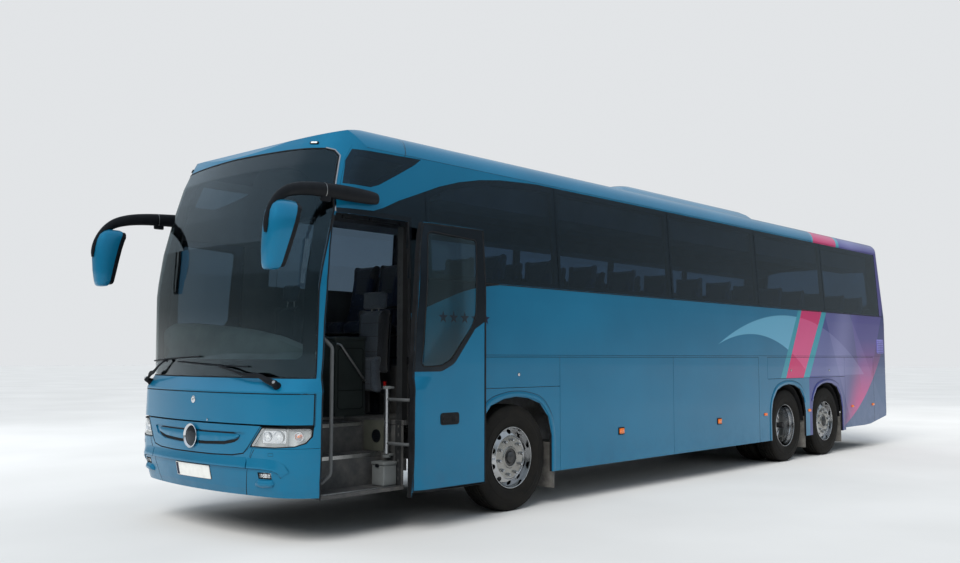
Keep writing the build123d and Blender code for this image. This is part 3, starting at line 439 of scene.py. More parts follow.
M_NAVY.bump(M_NAVY.noise(55.0, 2, 0.5), 0.03, 0.001)
M_NAVY = M_NAVY.m


def step_mat():
    """dark step covering, blotchy in tone, with a pebbled bump"""
    t = Mt("step_covering", (0.05, 0.05, 0.052), rough=0.7)
    n = t.noise(10.0, 5, 0.6)
    t.colour(t.mix(t.map(n, 0.35, 0.8), (0.040, 0.041, 0.043), (0.095, 0.092, 0.085)))
    t.bump(t.voronoi(160.0), 0.4, 0.001)
    return t.m


M_STEP = step_mat()


def mesh_grille_mat():
    """dark wire mesh"""
    t = Mt("dark_mesh", (0.012, 0.012, 0.013), rough=0.6, metal=0.3)
    vec = t.scaled(1, 1, 1)
    a, b = t.wave(95.0, "X", vec=vec), t.wave(95.0, "Z", vec=vec)
    h = t.math("MAXIMUM", a, b)
    t.colour(t.mix(t.map(h, 0.75, 0.92), (0.003, 0.003, 0.003), (0.05, 0.05, 0.052)))
    t.bump(h, 0.8, 0.003)
    return t.m


M_MESH = mesh_grille_mat()


# ---------------------------------------------------------------- mesh tools
class Build:
    """collects vertices and faces of several shapes into one mesh"""

    def __init__(self):
        self.v, self.f, self.m = [], [], []

    def add(self, vf, mat=0):
        o = len(self.v)
        self.v += [Vector(p) for p in vf[0]]
        self.f += [tuple(i + o for i in f) for f in vf[1]]
        self.m += [mat] * len(vf[1])
        return self

    def make(self, name, mats, body, angle=38.0, slot=None, clean=True):
        me = bpy.data.meshes.new(name)
        me.from_pydata([tuple(p) for p in self.v], [], self.f)
        for k in mats:
            me.materials.append(k)
        me.polygons.foreach_set("material_index", self.m)
        me.validate()
        if clean:
            bm = bmesh.new()
            bm.from_mesh(me)
            bmesh.ops.remove_doubles(bm, verts=bm.verts, dist=1e-5)
            bmesh.ops.dissolve_degenerate(bm, edges=bm.edges, dist=1e-6)
            bmesh.ops.recalc_face_normals(bm, faces=bm.faces)
            bm.to_mesh(me)
            bm.free()
        me.polygons.foreach_set("use_smooth", [True] * len(me.polygons))
        me.set_sharp_from_angle(angle=math.radians(angle))
        ob = bpy.data.objects.new(name, me)
        bpy.context.scene.collection.objects.link(ob)
        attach(ob, body)
        return ob


def one(vf, name, mat, body, angle=38.0, slot=None):
    return Build().add(vf).make(name, [mat], body, angle, slot)


def resample(pts, step, closed=True):
    """points along straight runs at most step apart, corners kept"""
    out = []
    n = len(pts)
    for i in range(n if closed else n - 1):
        p, q = pts[i], pts[(i + 1) % n]
        d = math.dist(p, q)
        k = max(1, int(math.ceil(d / step)))
        for j in range(k):
            out.append(tuple(a + (b - a) * j / k for a, b in zip(p, q)))
    if not closed:
        out.append(tuple(pts[-1]))
    return out


def rounded(pts, r, seg=5):
    """closed 2D outline with its corners filleted; r is one radius or one for each corner"""
    out = []
    n = len(pts)
    for i in range(n):
        rr = r[i] if isinstance(r, (list, tuple)) else r
        p = Vector(pts[i - 1]).to_2d() if len(pts[i - 1]) > 2 else Vector(pts[i - 1])
        c, q = Vector(pts[i]), Vector(pts[(i + 1) % n])
        a, b = (p - c), (q - c)
        la, lb = a.length, b.length
        if rr <= 0 or la < 1e-9 or lb < 1e-9:
            out.append(tuple(c))
            continue
        a.normalize()
        b.normalize()
        ang = a.angle(b)
        if ang > PI - 0.05:
            out.append(tuple(c))
            continue
        t = min(rr / math.tan(ang / 2), la * 0.48, lb * 0.48)
        rr = t * math.tan(ang / 2)
        bis = (a + b).normalized()
        o = c + bis * (rr / math.sin(ang / 2))
        s, e = c + a * t - o, c + b * t - o
        a0, a1 = math.atan2(s.y, s.x), math.atan2(e.y, e.x)
        d = (a1 - a0 + PI) % (2 * PI) - PI
        for k in range(seg + 1):
            w = a0 + d * k / seg
            out.append((o.x + rr * math.cos(w), o.y + rr * math.sin(w)))
    return out


def inset(pts, d):
    """closed 2D outline moved d inwards"""
    n = len(pts)
    area = sum(pts[i - 1][0] * pts[i][1] - pts[i][0] * pts[i - 1][1] for i in range(n))
    sgn = 1 if area > 0 else -1
    out = []
    for i in range(n):
        p, c, q = Vector(pts[i - 1]), Vector(pts[i]), Vector(pts[(i + 1) % n])
        a, b = (c - p), (q - c)
        if a.length < 1e-9 or b.length < 1e-9:
            out.append(tuple(c))
            continue
        a.normalize()
        b.normalize()
        na, nb = Vector((-a.y, a.x)) * sgn, Vector((-b.y, b.x)) * sgn
        k = (na + nb)
        l2 = max(k.length_squared, 0.35)
        out.append(tuple(c + k * (2 * d / l2)))
    return out


def in_poly(x, y, poly):
    c = False
    n = len(poly)
    for i in range(n):
        x1, y1 = poly[i - 1][0], poly[i - 1][1]
        x2, y2 = poly[i][0], poly[i][1]
        if (y1 > y) != (y2 > y) and x < (x2 - x1) * (y - y1) / (y2 - y1) + x1:
            c = not c
    return c


def plate(outline, mp, lo, hi, res=0.05, holes=(), dome=0.0):
    """closed plate that lies on a surface, from lo to hi off it; dome lifts its middle"""
    loops = [resample(outline, res)] + [resample(h, res) for h in holes]
    pts, edges = [], []
    for lp in loops:
        o = len(pts)
        pts += [Vector((p[0], p[1])) for p in lp]
        edges += [(o + i, o + (i + 1) % len(lp)) for i in range(len(lp))]
    nb = len(pts)
    xs, ys = [p[0] for p in outline], [p[1] for p in outline]
    x0, x1, y0, y1 = min(xs), max(xs), min(ys), max(ys)
    nx, ny = int((x1 - x0) / res), int((y1 - y0) / res)
    for i in range(1, nx + 1):
        for j in range(1, ny + 1):
            px, py = x0 + (x1 - x0) * (i - 0.5) / max(nx, 1), y0 + (y1 - y0) * (j - 0.5) / max(ny, 1)
            if in_poly(px, py, outline) and not any(in_poly(px, py, h) for h in holes):
                near = min((px - q.x) ** 2 + (py - q.y) ** 2 for q in pts[:nb])
                if near > (res * 0.42) ** 2:
                    pts.append(Vector((px, py)))
    co, _, tri, *_ = geometry.delaunay_2d_cdt(pts, edges, [], 0, 1e-6)
    keep = []
    for f in tri:
        cx, cy = sum(co[i].x for i in f) / 3, sum(co[i].y for i in f) / 3
        if in_poly(cx, cy, outline) and not any(in_poly(cx, cy, h) for h in holes):
            keep.append(tuple(f))
    n = len(co)

    def lift(p):
        if not dome:
            return 0.0
        d = min(math.dist((p.x, p.y), q) for q in loops[0])
        w = min((x1 - x0), (y1 - y0)) / 2
        k = min(1.0, d / w)
        return dome * math.sin(k * PI / 2)

    v = [mp(p.x, p.y, hi + lift(p)) for p in co] + [mp(p.x, p.y, lo) for p in co]
    f = list(keep) + [tuple(i + n for i in reversed(t)) for t in keep]
    count = {}
    for t in keep:
        for a, b in ((t[0], t[1]), (t[1], t[2]), (t[2], t[0])):
            count[(a, b)] = count.get((a, b), 0) + 1
    for (a, b) in count:
        if (b, a) not in count:
            f.append((a, b, b + n, a + n))
    return v, f


def sweep(path, prof, ups, closed=False, caps=True, scale=None):
    """profile (across, along the normal) carried along a path; ups is one normal or one for each point"""
    path = [Vector(p) for p in path]
    n, k = len(path), len(prof)
    v, f = [], []
    for i, p in enumerate(path):
        a = path[i - 1] if (closed or i > 0) else path[i]
        b = path[(i + 1) % n] if (closed or i < n - 1) else path[i]
        t = (b - a).normalized()
        u = Vector(ups[i] if isinstance(ups, list) else ups)
        u = (u - t * u.dot(t)).normalized()
        s = t.cross(u)
        c = scale[i] if scale else 1.0
        c, d = c if isinstance(c, tuple) else (c, c)
        for (x, y) in prof:
            v.append(p + s * (x * c) + u * (y * d))
    for i in range(n if closed else n - 1):
        for j in range(k):
            a, b = i * k + j, i * k + (j + 1) % k
            c, d = ((i + 1) % n) * k + (j + 1) % k, ((i + 1) % n) * k + j
            f.append((a, b, c, d))
    if not closed and caps:
        f.append(tuple(range(k - 1, -1, -1)))
        f.append(tuple((n - 1) * k + j for j in range(k)))
    return v, f


def circ_prof(r, n=10, sx=1.0, sy=1.0):
    return [(r * sx * math.cos(2 * PI * i / n), r * sy * math.sin(2 * PI * i / n)) for i in range(n)]


def bar_prof(w, h, c=None, base=0.0):
    """rounded bar w wide, from base to base + h high"""
    c = min(w, h) * 0.3 if c is None else c
    x, a, b = w / 2, base, base + h
    return [(-x, a), (x, a), (x, b - c), (x - c * 0.3, b - c * 0.3), (x - c, b), (-x + c, b), (-x + c * 0.3, b - c * 0.3), (-x, b - c)]


def smooth_path(pts, n=8):
    """Catmull-Rom through the points"""
    P = [Vector(p) for p in pts]
    P = [P[0] * 2 - P[1]] + P + [P[-1] * 2 - P[-2]]
    out = []
    for i in range(1, len(P) - 2):
        for k in range(n):
            t = k / n
            a, b, c, d = P[i - 1], P[i], P[i + 1], P[i + 2]
            out.append(0.5 * ((2 * b) + (c - a) * t + (2 * a - 5 * b + 4 * c - d) * t * t + (3 * b - 3 * c + d - a) * t ** 3))
    out.append(P[-2])
    return out


def tube(pts, r, n=10, up=(0, 0, 1), scale=None):
    ups = []
    P = [Vector(p) for p in pts]
    u = Vector(up)
    for i in range(len(P)):
        a, b = P[max(0, i - 1)], P[min(len(P) - 1, i + 1)]
        t = (b - a).normalized()
        w = u - t * u.dot(t)
        if w.length < 0.05:
            w = Vector((1, 0, 0)) - t * t.x
        u = w.normalized()
        ups.append(u.copy())
    return sweep(P, circ_prof(r, n), ups, scale=scale)


def ridge(outline, mp, prof, off=0.0, res=0.04, closed=True):
    """a profile carried round an outline on a surface"""
    pts = resample(outline, res, closed)
    path = [mp(a, b, off) for a, b in pts]
    ups = [mp(a, b, off + 0.01) - mp(a, b, off) for a, b in pts]
    return sweep(path, prof, ups, closed)


def lathe(prof, centre, axis, n=48, arc=None, start=None):
    """(along the axis, radius) outline turned about it; closed if the outline is"""
    axis = Vector(axis).normalized()
    ref = Vector((0, 0, 1)) if abs(axis.z) < 0.9 else Vector((0, 1, 0))
    e1 = (ref - axis * ref.dot(axis)).normalized()
    e2 = axis.cross(e1)
    c = Vector(centre)
    k = len(prof)
    v, f = [], []
    for i in range(n):
        a = 2 * PI * i / n
        d = e1 * math.cos(a) + e2 * math.sin(a)
        for (h, r) in prof:
            v.append(c + axis * h + d * r)
    for i in range(n):
        for j in range(k - 1):
            a, b = i * k + j, i * k + j + 1
            e, g = ((i + 1) % n) * k + j + 1, ((i + 1) % n) * k + j
            f.append((a, b, e, g))
    return v, f


def lathe_closed(prof, centre, axis, n=48):
    return lathe(list(prof) + [prof[0]], centre, axis, n)


def rbox(centre, size, r=0.01, seg=2, rot=None):
    """box with rounded edges"""
    bm = bmesh.new()
    bmesh.ops.create_cube(bm, size=1.0)
    for w in bm.verts:
        w.co = Vector((w.co.x * size[0], w.co.y * size[1], w.co.z * size[2]))
    if r > 0:
        bmesh.ops.bevel(bm, geom=bm.edges[:], offset=min(r, min(size) * 0.45), segments=seg, affect="EDGES", profile=0.6)
    M = (rot or Matrix.Identity(3)).to_4x4()
    M.translation = Vector(centre)
    bm.transform(M)
    v = [w.co.copy() for w in bm.verts]
    f = [tuple(w.index for w in g.verts) for g in bm.faces]
    bm.free()
    return v, f


def extrude_outline(outline, place, t, r=0.004, seg=2):
    """flat outline made a plate of thickness t with rounded rims; place(a, b, h) gives the point"""
    bm = bmesh.new()
    lo = [bm.verts.new((a, b, 0)) for a, b in outline]
    hi = [bm.verts.new((a, b, t)) for a, b in outline]
    n = len(outline)
    bm.faces.new(list(reversed(lo)))
    top = bm.faces.new(hi)
    for i in range(n):
        bm.faces.new((lo[i], lo[(i + 1) % n], hi[(i + 1) % n], hi[i]))
    if r > 0:
        rim = [e for e in bm.edges if len([w for w in e.verts if w.co.z > t * 0.5]) == 2]
        bmesh.ops.bevel(bm, geom=rim, offset=r, segments=seg, affect="EDGES", profile=0.6)
    bm.verts.index_update()
    v = [place(w.co.x, w.co.y, w.co.z) for w in bm.verts]
    f = [tuple(w.index for w in g.verts) for g in bm.faces]
    bm.free()
    return v, f


def mirrored(vf):
    return [Vector((-p[0], p[1], p[2])) for p in vf[0]], [tuple(reversed(f)) for f in vf[1]]


def paint_faces(node, mats, rule):
    """gives each face of a CAD node one of the materials"""
    me = N[node].data
    me.materials.clear()
    for k in mats:
        me.materials.append(k)
    idx = [rule(p.center, p.normal) for p in me.polygons]
    me.polygons.foreach_set("material_index", idx)


def plain(node, mat):
    if node not in N:
        return
    me = N[node].data
    me.materials.clear()
    me.materials.append(mat)


# ---------------------------------------------------------------- finishes on the frame's own parts
def outer_side(c, n):
    return abs(c.x) > half_width(c.z) - 0.004 and abs(n.x) > 0.5


def wall_rule(c, n):
    """0 paint, 1 glossy black behind the glazing, 2 lining, 3 rubber reveals, 4 underside black"""
    hw = half_width(c.z)
    depth = hw - abs(c.x)
    ya = c.y + YM
    front = front_y(min(abs(c.x), hw - 0.001), c.z)
    if depth < 0.004 and abs(n.x) > 0.3:
        return 0
    if ya < -1.9 and abs(ya - front) < 0.006 and n.y < -0.05:
        return 0
    if 2.18 < c.z < 3.27 and depth < 0.02:
        return 1
    if depth < 0.0105 and c.z > 2.1:
        return 1
    if c.z < 1.40:
        return 4
    if abs(n.x) < 0.5:
        return 3
    return 2


for w in ("left_side_wall", "right_side_wall"):
    paint_faces(w, [M_PAINT, M_BLACKGLOSS, M_LINING, M_RUBBER, M_SOOT], wall_rule)
FLAP_NODES = ["fuel_flap", "bay_door_front", "bay_door_rear", "arch_flap", "engine_side_door"]
for f in FLAP_NODES:
    for s in ("left", "right"):
        paint_faces(f + "_" + s, [M_PAINT, M_SOOT, M_TRIM], lambda c, n: 0 if abs(c.x) > 1.2735 and abs(n.x) > 0.5 else (0 if abs(n.x) < 0.5 and abs(c.x) > 1.262 else 2))


def mask_rule(c, n):
    ya = c.y + YM
    fy = front_y(min(abs(c.x), half_width(c.z) - 0.001), c.z)
    if c.z > 3.25 and n.z > 0.2:
        return 0
    if abs(ya - fy) < 0.006:
        return 0
    if ya < fy + 0.02 and abs(c.x) < half_width(c.z) - 0.002 and n.y < -0.2:
        return 0
    if c.z < 1.30:
        return 1
    return 1


paint_faces("front_mask", [M_PAINT, M_SOOT], mask_rule)
for k in ("front_flap", "front_bumper"):
    paint_faces(k, [M_PAINT, M_SOOT], mask_rule)
paint_faces("grille_panel", [M_PAINT, M_SOOT], lambda c, n: 0 if n.y < 0.1 or abs(n.z) > 0.7 else 1)
paint_faces("roof_shell", [M_PAINT, M_LINING], lambda c, n: 0 if n.z > 0.05 or abs(c.x) > 1.196 else 1)
plain("aircon_pod", M_PAINT)
plain("roof_hatches", M_TRIM_L)


def tail_rule(c, n):
    by = B(c.x, c.z).y
    return 0 if c.y > by - 0.006 or (c.z > 3.25 and n.z > 0.2) else 1


for k in ("rear_panel", "engine_lid", "rear_bumper"):
    paint_faces(k, [M_PAINT, M_SOOT], tail_rule)
plain("windscreen", M_GLASS_FRONT)
plain("side_windows", M_GLASS_SIDE)
plain("rear_window", M_GLASS_SIDE)
plain("passenger_door_glass", M_GLASS_DOOR)
plain("underframe", M_CHASSIS)
plain("luggage_bays", M_GALV)
plain("engine_block", M_CHASSIS)
for k in ("front_axle", "knuckle_left", "knuckle_right", "drive_axle", "tag_axle"):
    plain(k, M_CHASSIS)
plain("saloon_floor", M_STEP)
M_DASH = plastic("dash_top_grey", (0.17, 0.18, 0.175), 0.62, 300.0, 0.05)
plain("dashboard", M_DASH)
plain("luggage_racks", M_LINING)
plain("door_swing_arm", M_TRIM)
plain("steering_wheel", M_BLACK)
plain("grab_rails", M_TRIM)
plain("mudflaps", rubber("mudflap_grey", (0.120, 0.116, 0.108), 0.75))
for w in ("front_left", "front_right", "drive_left", "drive_right", "tag_left", "tag_right"):
    plain(w + "_tyre", M_TYRE)
    plain(w + "_rim", M_ALLOY)
# ---------------------------------------------------------------- front: screen border, seals and lines
SCREEN_H = [(1.200, 1.320), (1.213, 2.150), (1.212, 2.440), (1.199, 2.690), (1.168, 2.890), (1.149, 3.100), (1.138, 3.172), (1.104, 3.220),
            (1.050, 3.238), (0.700, 3.250), (0.0, 3.258)]
SCREEN = SCREEN_H + [(-x, z) for x, z in reversed(SCREEN_H[:-1])]
IN_H = [(1.128, 1.470), (1.140, 2.150), (1.139, 2.440), (1.118, 2.690), (1.070, 2.860), (1.000, 2.975), (0.920, 3.040), (0.800, 3.075), (0.600, 3.092), (0.0, 3.100)]
DAYLIGHT = IN_H + [(-x, z) for x, z in reversed(IN_H[:-1])]
one(plate(inset(SCREEN, 0.006), F, -0.0180, -0.0150, 0.07, [rounded(DAYLIGHT, 0.05, 4)]), "screen_border", M_SOOT, "body")
one(ridge(SCREEN, F, bar_prof(0.011, 0.0035, 0.001), -0.0005, 0.05), "screen_seal", M_RUBBER, "body")
b = Build()
for s in (1, -1):
    b.add(ridge([(s * x, z) for x, z in [(1.2045, 2.69), (1.1735, 2.895), (1.1545, 3.10), (1.1435, 3.178), (1.108, 3.2265), (1.05, 3.2445)]], F,
                bar_prof(0.012, 0.005, 0.002), 0.0, 0.03, closed=False))
b.make("screen_corner_trim", [M_ALLOY], "body")
b = Build()
GAP = 0.005
# black strips laid on the fixed panels beside the flap's and the bowl's gaps: painted shade that widens the gaps' dark
# lines
b.add(ridge([(-1.2310, 1.1965), (1.2310, 1.1965)], F, bar_prof(0.004, 0.0008, 0.0002), 0.0, 0.04, closed=False))
for s in (1, -1):
    b.add(ridge([(s * 1.2330, 1.196), (s * 1.2330, 0.936)], F, bar_prof(0.003, 0.0008, 0.0002), 0.0, 0.04, closed=False))
BOWL_LINE = [(-.8700, .9400), (-.7405, .7640), (-.6910, .7130), (-.560, .6925), (-.300, .6845), (.300, .6845), (.560, .6925), (.6910, .7130), (.7405, .7640), (.8700, .9400)]
b.add(ridge(BOWL_LINE, F, bar_prof(0.006, 0.0008, 0.0002), 0.0, 0.03, closed=False))
b.make("front_panel_lines", [M_RUBBER], "body")

# grille blade with a dark slot above and below it
b = Build()
blade = [(-.660, .860), (-.590, .829), (-.450, .803), (-.200, .790), (.200, .790), (.450, .803), (.590, .829), (.660, .860), (.40, .8625), (-.40, .8625)]
b.add(plate(rounded(blade, 0.012, 3), F, -0.0098, 0.0015, 0.035, dome=0.006))
b.make("grille_blade", [M_PAINT], "body")
b = Build()
for s in (1, -1):
    up = [(s * .600, .8690), (s * .555, .8765), (s * .095, .8735), (s * .095, .8635), (s * .560, .8655)]
    lo = [(s * .095, .7865), (s * .200, .7870), (s * .445, .7985), (s * .585, .8230), (s * .632, .8420), (s * .612, .8180), (s * .560, .7920), (s * .445, .7745),
          (s * .200, .7640), (s * .095, .7635)]
    b.add(plate(up, F, -0.0099, -0.0090, 0.04))
    b.add(plate(lo, F, -0.0099, -0.0090, 0.04))
b.make("grille_slots", [M_SOOT], "body")
# plain round boss with a bright rim and a blank dark face
c, n = F(0, .822, -0.006), (F(0, .822, 0.01) - F(0, .822, 0)).normalized()
b = Build()
b.add(lathe_closed([(0.0, .082), (0.012, .091), (.020, .100), (.026, .102), (.029, .098), (.026, .091), (.020, .087), (.014, .082)], c, n, 56), 0)
b.add(lathe([(0.002, .086), (0.016, .084), (.0185, .070), (.0205, .034), (.0210, .0005)], c, n, 56), 1)
b.make("grille_boss", [M_CHROME, M_BLACKGLOSS], "body")
# flap lock and pin
b = Build()
c, n = F(0, 1.129, 0.0), (F(0, 1.129, 0.01) - F(0, 1.129, 0)).normalized()
b.add(lathe([(0.0, .031), (0.004, .031), (.006, .028), (.0062, .022), (.004, .020), (.004, .012), (.007, .011), (.007, .0005)], c, n, 32), 0)
b.add(rbox(c + n * .0075 + Vector((0, 0, 0)), (.004, .003, .014), .001), 1)
c, n = F(.225, .966, 0.0), (F(.225, .966, 0.01) - F(.225, .966, 0)).normalized()
b.add(rbox(c + n * .004, (.008, .008, .022), .002), 0)
b.make("front_flap_lock", [M_CHROME, M_BLACK], "front_flap")

# bumper: crease, shelf, tow cover outline, fog lamp chins
def shelf_line(s, x0, x1, z):
    ln = resample([(x0, z), (x1, z)] if x1 < .9 else [(x0, z), (.90, z + .001), (.985, z - .006), (1.030, z - .030), (1.045, z - .062)], .03, False)
    path = [F(s * x, zz, -0.0006) for x, zz in ln]
    up = [F(s * x, zz, 0.01) - F(s * x, zz, 0) for x, zz in ln]
    return path, up


SHELF = [(-.085, .0), (-.060, .0055), (-.025, .0165), (-.008, .0220), (-.001, .0215), (.0015, .0170), (.0015, .0)]
b, dk = Build(), Build()
for s, x0, x1 in ((1, -.716, .716), (1, .728, 1.045), (-1, .728, 1.045)):
    path, up = shelf_line(s, x0, x1, .600)
    k = len(path)
    # the profile's first coordinate runs down the panel from the ledge's edge
    sc = [(1.0, 1.0)] * k if x1 < .9 else [(1.0, 1.0 if i < k * .6 else max(.10, 1 - .9 * (i - k * .6) / (k * .4))) for i in range(k)]
    for flip in (1,):
        b.add(sweep(path, [(a * s, c_) for a, c_ in SHELF], up, scale=sc))
    dk.add(sweep([p + Vector((0, 0, -.0055)) for p in path], bar_prof(.0050, .0022, .0008), up))
dk.make("bumper_shelf_shadow", [M_RUBBER], "body")
b.make("bumper_shelf", [M_PAINT], "body", 50)
b = Build()
# the runs along z .5985, under the shelf's ledge, are painted shadow in the crease; the sloping line and the small
# outline are joint lines
b.add(ridge([(-.716, .5985), (.716, .5985)], F, bar_prof(0.006, 0.0010, 0.0002), 0.0, 0.04, closed=False))
for s in (1, -1):
    b.add(ridge([(s * .728, .5985), (s * .86, .5995), (s * .96, .5985), (s * 1.0, .5945)], F, bar_prof(0.005, 0.0010, 0.0002), 0.0, 0.04, closed=False))
    b.add(ridge([(s * .8092, .752), (s * .7372, .638), (s * .6545, .374)], F, bar_prof(0.005, 0.0008, 0.0002), 0.0, 0.03, closed=False))
    b.add(ridge([(s * .955, .705), (s * .955, .728), (s * .999, .728), (s * .999, .705)], F, bar_prof(0.002, 0.0008, 0.0002), 0.0, 0.02, closed=True))
b.make("bumper_lines", [M_RUBBER], "body")
b = Build()
for s in (1, -1):
    pts = [(.770, .462), (.826, .512), (.972, .516), (.984, .480), (.962, .456), (.860, .446)]
    b.add(plate(rounded([(s * x, z) for x, z in pts], 0.010, 3), F, -0.0005, 0.004, 0.015, dome=0.026))
b.make("fog_lamp_chins", [M_PAINT], "body", 60)

# number plate, blank
b = Build()
b.add(plate(rounded([(-.270, .4745), (.250, .4745), (.250, .5855), (-.270, .5855)], .008, 3), F, 0.0015, 0.0075, 0.06), 0)
b.add(plate([(-.266, .479), (-.226, .479), (-.226, .581), (-.266, .581)], F, 0.0076, 0.0080, 0.06), 1)
b.add(plate(rounded([(-.275, .470), (.255, .470), (.255, .590), (-.275, .590)], .010, 3), F, -0.0010, 0.0016, 0.06), 2)
b.make("number_plate_front", [M_PLATE, M_NAVY, M_BLACK], "body")

# ---------------------------------------------------------------- headlamps and fog lamps
LAMP = [(.7625, .7715), (.8810, .9265), (1.2265, .9265), (1.2235, .859), (1.1985, .807), (1.1460, .7815), (1.0150, .7715)]
b = Build()
g = Build()
for s in (1, -1):
    o = rounded([(s * x, z) for x, z in LAMP], [.012, .018, .02, .02, .03, .03, .02], 4)
    ins = inset(o, 0.006)
    # cover
    g.add(plate(ins, F, -0.004, -0.0005, 0.035, dome=0.004))
    # gasket
    b.add(ridge(o, F, bar_prof(0.009, 0.008, 0.002), -0.007, 0.03), 1)
    # bowl: back wall and ring
    b.add(plate(inset(o, 0.003), F, -0.0600, -0.0570, 0.05), 2)
    pts = resample(inset(o, 0.003), 0.05)
    k = len(pts)
    v = [F(x, z, -0.006) for x, z in pts] + [F(x, z, -0.058) for x, z in pts]
    b.add((v, [(i, (i + 1) % k, (i + 1) % k + k, i + k) for i in range(k)]), 3)
    # stepped reflector block
    rf = [(.872, .806), (.872, .903), (1.086, .903), (1.086, .806)]
    b.add(plate(rounded([(s * x, z) for x, z in rf], .012, 3), F, -0.056, -0.026, 0.03), 0)
    for (cx, cz, r_, d_) in ((.925, .854, .036, -.022), (1.030, .854, .044, -.024)):
        cc = F(s * cx, cz, d_)
        nn = (F(s * cx, cz, 0.02) - F(s * cx, cz, 0)).normalized()
        nn = (nn + Vector((0, -0.8, 0))).normalized()
        b.add(lathe([(-.004, r_ * 1.12), (.006, r_ * 1.10), (.007, r_ * .98), (-.010, r_ * .80), (-.016, r_ * .4), (-.017, .0005)], cc, nn, 32), 0)
        b.add(lathe([(-.012, r_ * .42), (.000, r_ * .38), (.006, r_ * .20), (.007, .0005)], cc, nn, 24), 4)
    # divider and inner frame lines
    b.add(ridge([(s * 1.098, .785), (s * 1.098, .920)], F, bar_prof(0.007, 0.030, 0.002), -0.040, 0.02, closed=False), 5)
    b.add(ridge([(s * .868, .802), (s * .868, .908), (s * 1.090, .908), (s * 1.090, .802)], F, bar_prof(0.004, 0.006, 0.001), -0.030, 0.02), 5)
    # indicator at the outer end
    cc = F(s * 1.165, .858, -0.030)
    nn = (F(s * 1.165, .858, 0.02) - F(s * 1.165, .858, 0)).normalized()
    nn = (nn + Vector((0, -0.9, 0))).normalized()
    b.add(lathe([(-.004, .040), (.004, .039), (.004, .034), (-.012, .026), (-.016, .0005)], cc, nn, 28), 0)
    b.add(lathe([(-.010, .013), (.008, .012), (.014, .007), (.016, .0005)], cc, nn, 20), 6)
    # fog lamp: squarish clear lens in a dark surround
    fo = rounded([(s * .8400, .5265), (s * .9600, .5265), (s * .9600, .5640), (s * .8500, .5640)], .008, 3)
    g.add(plate(inset(fo, .003), F, -0.004, 0.000, 0.03, dome=0.003))
    b.add(ridge(fo, F, bar_prof(0.006, 0.006, 0.002), -0.005, 0.02), 1)
    b.add(plate(fo, F, -0.024, -0.020, 0.04), 0)
    cc = F(s * .900, .545, -0.018)
    nn = (F(s * .9, .545, 0.02) - F(s * .9, .545, 0)).normalized()
    b.add(lathe([(.004, .020), (.002, .016), (-.004, .008), (-.005, .0005)], cc, nn, 24), 4)
M_REFL = metal("lamp_reflector", (0.88, 0.89, 0.90), 0.10, scratch=0.05)
M_LAMPGREY = plastic("lamp_housing", (0.56, 0.58, 0.57), 0.22, 300.0, 0.04, vary=0.12)
hl = b.make("headlamp_insides", [M_REFL, M_RUBBER, M_LAMPGREY, M_LAMPGREY, M_WHITE_LENS, M_TRIM_L, M_ORANGE], "body")
hg = g.make("headlamp_covers", [M_GLASS_LAMP], "body", 60, "lamp_glass")
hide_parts("headlamps")

